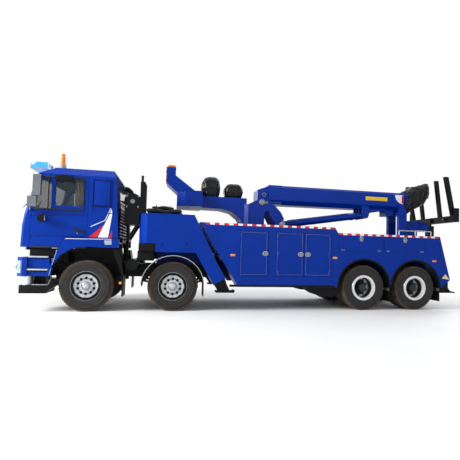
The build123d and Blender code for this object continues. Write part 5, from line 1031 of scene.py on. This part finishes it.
# Share of the height: share of the length cut off in front, behind, and share of the half width
LUMP = (
    (0.0, 0.14, 0.10, 0.86),
    (0.16, 0.04, 0.03, 0.96),
    (0.42, -0.02, -0.02, 1.02),
    (0.62, -0.01, 0.0, 1.0),
    (0.80, 0.06, 0.06, 0.92),
    (0.93, 0.17, 0.16, 0.74),
    (1.0, 0.36, 0.33, 0.36),
)


def table_at(table, t):
    """The columns of a table, run smoothly between its rows."""
    for a, b in zip(table, table[1:]):
        if t <= b[0]:
            u = (t - a[0]) / (b[0] - a[0])
            return [between(p, q, u) for p, q in zip(a[1:], b[1:])]
    return list(table[-1][1:])


def draped(name, rings, body, node):
    """Joins a cover's rings, closes its top and lays it on what it rests on."""
    bm = bmesh.new()
    skin(bm, rings, 0, ends=False)
    bm.verts.ensure_lookup_table()
    bm.faces.new(bm.verts[-len(rings[0]) :])
    bmesh.ops.recalc_face_normals(bm, faces=bm.faces)
    obj, area = cloth_object(name, bm, cloth, 0.003, body)
    if node:
        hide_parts(node)


def rounded(c, power):
    return math.copysign(abs(c) ** power, c)


def tied_cloth(name, s, half, z, folds, seed, node):
    """A cover pulled over a lump and tied in below: hanging sides with folds and a crumpled dome."""
    around, rows = 160, 54
    rings = []
    for j in range(rows + 1):
        t = math.sin(min(1.0, j / (rows - 4)) * math.pi / 2) if j <= rows - 4 else 1.0
        inset_front, inset_rear, wide = table_at(LUMP, t)
        front, rear = s[0] + (s[1] - s[0]) * inset_front, s[1] - (s[1] - s[0]) * inset_rear
        middle, reach = (front + rear) / 2, (rear - front) / 2
        shrink = 1.0 if j <= rows - 4 else max(0.02, 1 - (j - rows + 4) / 4)
        ring = []
        for k in range(around):
            turn = 2 * math.pi * k / around
            c, d = math.cos(turn), math.sin(turn)
            rx, ry = rounded(c, 0.6), rounded(d, 0.6)
            hang = max(0.0, 1 - t * 1.25)
            pleat = math.sin(folds * turn + 3.2 * noise.noise(Vector((c * 2, d * 2, seed + t))))
            crumple = noise.fractal(Vector((c * 2.4, d * 2.4, t * 3.4 + seed)), 0.8, 2.1, 5)
            crease = abs(noise.noise(Vector((c * 1.7 + t, d * 1.7, t * 2.2 + seed * 2)))) ** 0.6
            inward = 1.0 - 0.03 * (1 + pleat) * hang - 0.05 * max(0.0, crumple) - 0.05 * crease
            px = middle + reach * rx * inward * shrink
            py = half * wide * ry * inward * shrink
            pz = between(z[0], z[1] - 0.012 * crease - 0.012, t) + 0.01 * (1 - shrink) + 0.006 * pleat * hang
            ring.append(spot(px, py, max(pz, z[0])))
        rings.append(ring)
    draped(name, rings, "turntable", node)


tied_cloth("winch_cloth_front", (2.43, 2.915), 0.30, (2.712, 3.262), 17, 1.7, "winch_covers")
tied_cloth("winch_cloth_rear", (3.01, 3.50), 0.285, (2.712, 3.112), 19, 5.2, None)

# Behind the first axle, foot, top and half width of the head's cover
HEAD = (
    (8.172, 2.545, 3.188, 0.255),
    (8.26, 2.55, 3.235, 0.283),
    (8.42, 2.665, 3.335, 0.284),
    (8.60, 2.735, 3.375, 0.25),
    (8.78, 2.845, 3.418, 0.222),
    (8.83, 2.95, 3.46, 0.205),
    (8.92, 3.01, 3.466, 0.17),
)


def head_cloth():
    """The cover of the boom's head: a sleeve pulled back over the sheaves and gathered behind them."""
    around, rows = 168, 64
    rings = []
    for j in range(rows + 1):
        u = min(1.0, j / (rows - 8))
        back = between(HEAD[0][0], HEAD[-1][0], u)
        foot, top, wide = table_at(HEAD, back)
        shrink = 1.0 if j <= rows - 8 else max(0.02, math.cos((j - rows + 8) / 8 * math.pi / 2))
        middle, reach = (foot + top) / 2, (top - foot) / 2
        ring = []
        for k in range(around):
            turn = 2 * math.pi * k / around
            c, d = math.cos(turn), math.sin(turn)
            ry, rz = rounded(c, 0.62), rounded(d, 0.62)
            fold = math.sin(13 * turn + 5 * u + 3 * noise.noise(Vector((c * 2, d * 2, u * 3))))
            crumple = noise.fractal(Vector((c * 2.6, d * 2.6, u * 4.5 + 9.0)), 0.8, 2.1, 5)
            crease = abs(noise.noise(Vector((c * 1.9 + u * 2, d * 1.9, u * 3.4 + 4.0)))) ** 0.6
            inward = 1.035 - 0.026 * (1 + fold) - 0.09 * max(0.0, crumple) - 0.085 * crease
            py = wide * ry * inward * shrink
            ring.append(spot(back + 0.004 * (1 - shrink), py, middle + reach * rz * inward * shrink))
        rings.append(ring)
    draped("head_cloth", rings, "boom_tip", "boom_head_cover")


head_cloth()

# Floor, light and the camera of the photograph

ground = bmesh.new()
FLOOR_REACH = 60
skin(ground, [[Vector((x, y, z)) for x, y in ((-1, -1), (1, -1), (1, 1), (-1, 1))] for z in (-0.02, 0.0)])
for vertex in ground.verts:
    vertex.co.x *= FLOOR_REACH
    vertex.co.y *= FLOOR_REACH
bmesh.ops.recalc_face_normals(ground, faces=ground.faces)
pale = make("pale_floor", "e6e6e4", "ecebe9", 0.75, 0.6, 9, 0.02)
floor = mesh_object("floor", ground, [pale])
# Away from the truck the floor turns to the same white as the studio, so that no horizon shows
pt = pale.node_tree
where = pt.nodes.new("ShaderNodeTexCoord").outputs["Object"]
far = add(pt, "ShaderNodeVectorMath", {"operation": "LENGTH"}, **{"0": where})
fade = add(pt, "ShaderNodeMapRange", {"interpolation_type": "SMOOTHSTEP"}, Value=far.outputs["Value"])
fade.inputs["From Min"].default_value = 6.5
fade.inputs["From Max"].default_value = 12.0
eye = pt.nodes.new("ShaderNodeLightPath").outputs["Is Camera Ray"]
share = maths(pt, "MULTIPLY", fade.outputs["Result"], eye)
glow = add(pt, "ShaderNodeEmission", Color=(1, 1, 1, 1), Strength=1.0)
blend = add(pt, "ShaderNodeMixShader", Fac=share, **{"1": pt.nodes["Principled BSDF"], "2": glow})
pt.links.new(blend.outputs[0], pt.nodes["Material Output"].inputs["Surface"])

world = bpy.data.worlds.new("soft_studio")
scene.world = world
world.use_nodes = True
sky_tree = world.node_tree
plain = sky_tree.nodes["Background"]
plain.inputs[0].default_value = linear("eef1f5")
plain.inputs[1].default_value = 0.6
# The eye, glass and reflections see a white studio, and the rest of the light is that of the plain world
ray = sky_tree.nodes.new("ShaderNodeLightPath").outputs
seen = maths(sky_tree, "MAXIMUM", ray["Is Camera Ray"], ray["Is Transmission Ray"])
shown = maths(sky_tree, "MAXIMUM", seen, ray["Is Glossy Ray"])
bright = add(sky_tree, "ShaderNodeBackground", Color=(1, 1, 1, 1), Strength=1.0)
choice = add(sky_tree, "ShaderNodeMixShader", Fac=shown, **{"1": plain, "2": bright})
sky_tree.links.new(choice.outputs[0], sky_tree.nodes["World Output"].inputs["Surface"])


def area_light(name, place, target, size, power, colour="ffffff"):
    data = bpy.data.lights.new(name, "AREA")
    data.shape = "RECTANGLE"
    data.size, data.size_y = size
    data.energy = power
    data.color = linear(colour)[:3]
    obj = bpy.data.objects.new(name, data)
    scene.collection.objects.link(obj)
    obj.location = place
    obj.rotation_euler = (Vector(target) - Vector(place)).to_track_quat("-Z", "Y").to_euler()


area_light("key", (-15, -5, 7), (0, 0, 1.2), (6, 6), 3600)
area_light("side", (3, -12, 5), (1, 0, 1.5), (9, 5), 110)
area_light("top", (0, 1, 12), (0, 0, 0), (14, 8), 330)
area_light("rear", (14, 7, 8), (0, 0, 1.2), (6, 6), 900)
area_light("far_side", (0, 12, 6), (0, 0, 1.2), (9, 5), 180)

# Camera of the photograph, fitted to it: turns in degrees, and focal length and optical centre in pixels
PHOTO, FOCAL, CENTRE_X, CENTRE_Y, SENSOR = 460, 393.1, 258.2, 235, 36
yaw, pitch, roll = math.radians(12.10), math.radians(2.45), math.radians(1.45)
forward = Vector((math.sin(yaw) * math.cos(pitch), math.cos(yaw) * math.cos(pitch), math.sin(pitch)))
right = Vector((math.cos(yaw), -math.sin(yaw), 0))
up = right.cross(forward)
right_rolled = right * math.cos(roll) + up * math.sin(roll)
up_rolled = up * math.cos(roll) - right * math.sin(roll)
camera_data = bpy.data.cameras.new("photo_camera")
camera = bpy.data.objects.new("photo_camera", camera_data)
scene.collection.objects.link(camera)
camera.matrix_world = Matrix(
    (
        (right_rolled.x, up_rolled.x, -forward.x, at(1.79)),
        (right_rolled.y, up_rolled.y, -forward.y, -10.12),
        (right_rolled.z, up_rolled.z, -forward.z, 1.36),
        (0, 0, 0, 1),
    )
)
camera_data.sensor_width = SENSOR
camera_data.lens = FOCAL / PHOTO * SENSOR
camera_data.shift_x = -(CENTRE_X - PHOTO / 2) / PHOTO
camera_data.shift_y = (CENTRE_Y - PHOTO / 2) / PHOTO
scene.camera = camera
scene.view_settings.view_transform = "Standard"
scene.view_settings.look = "None"
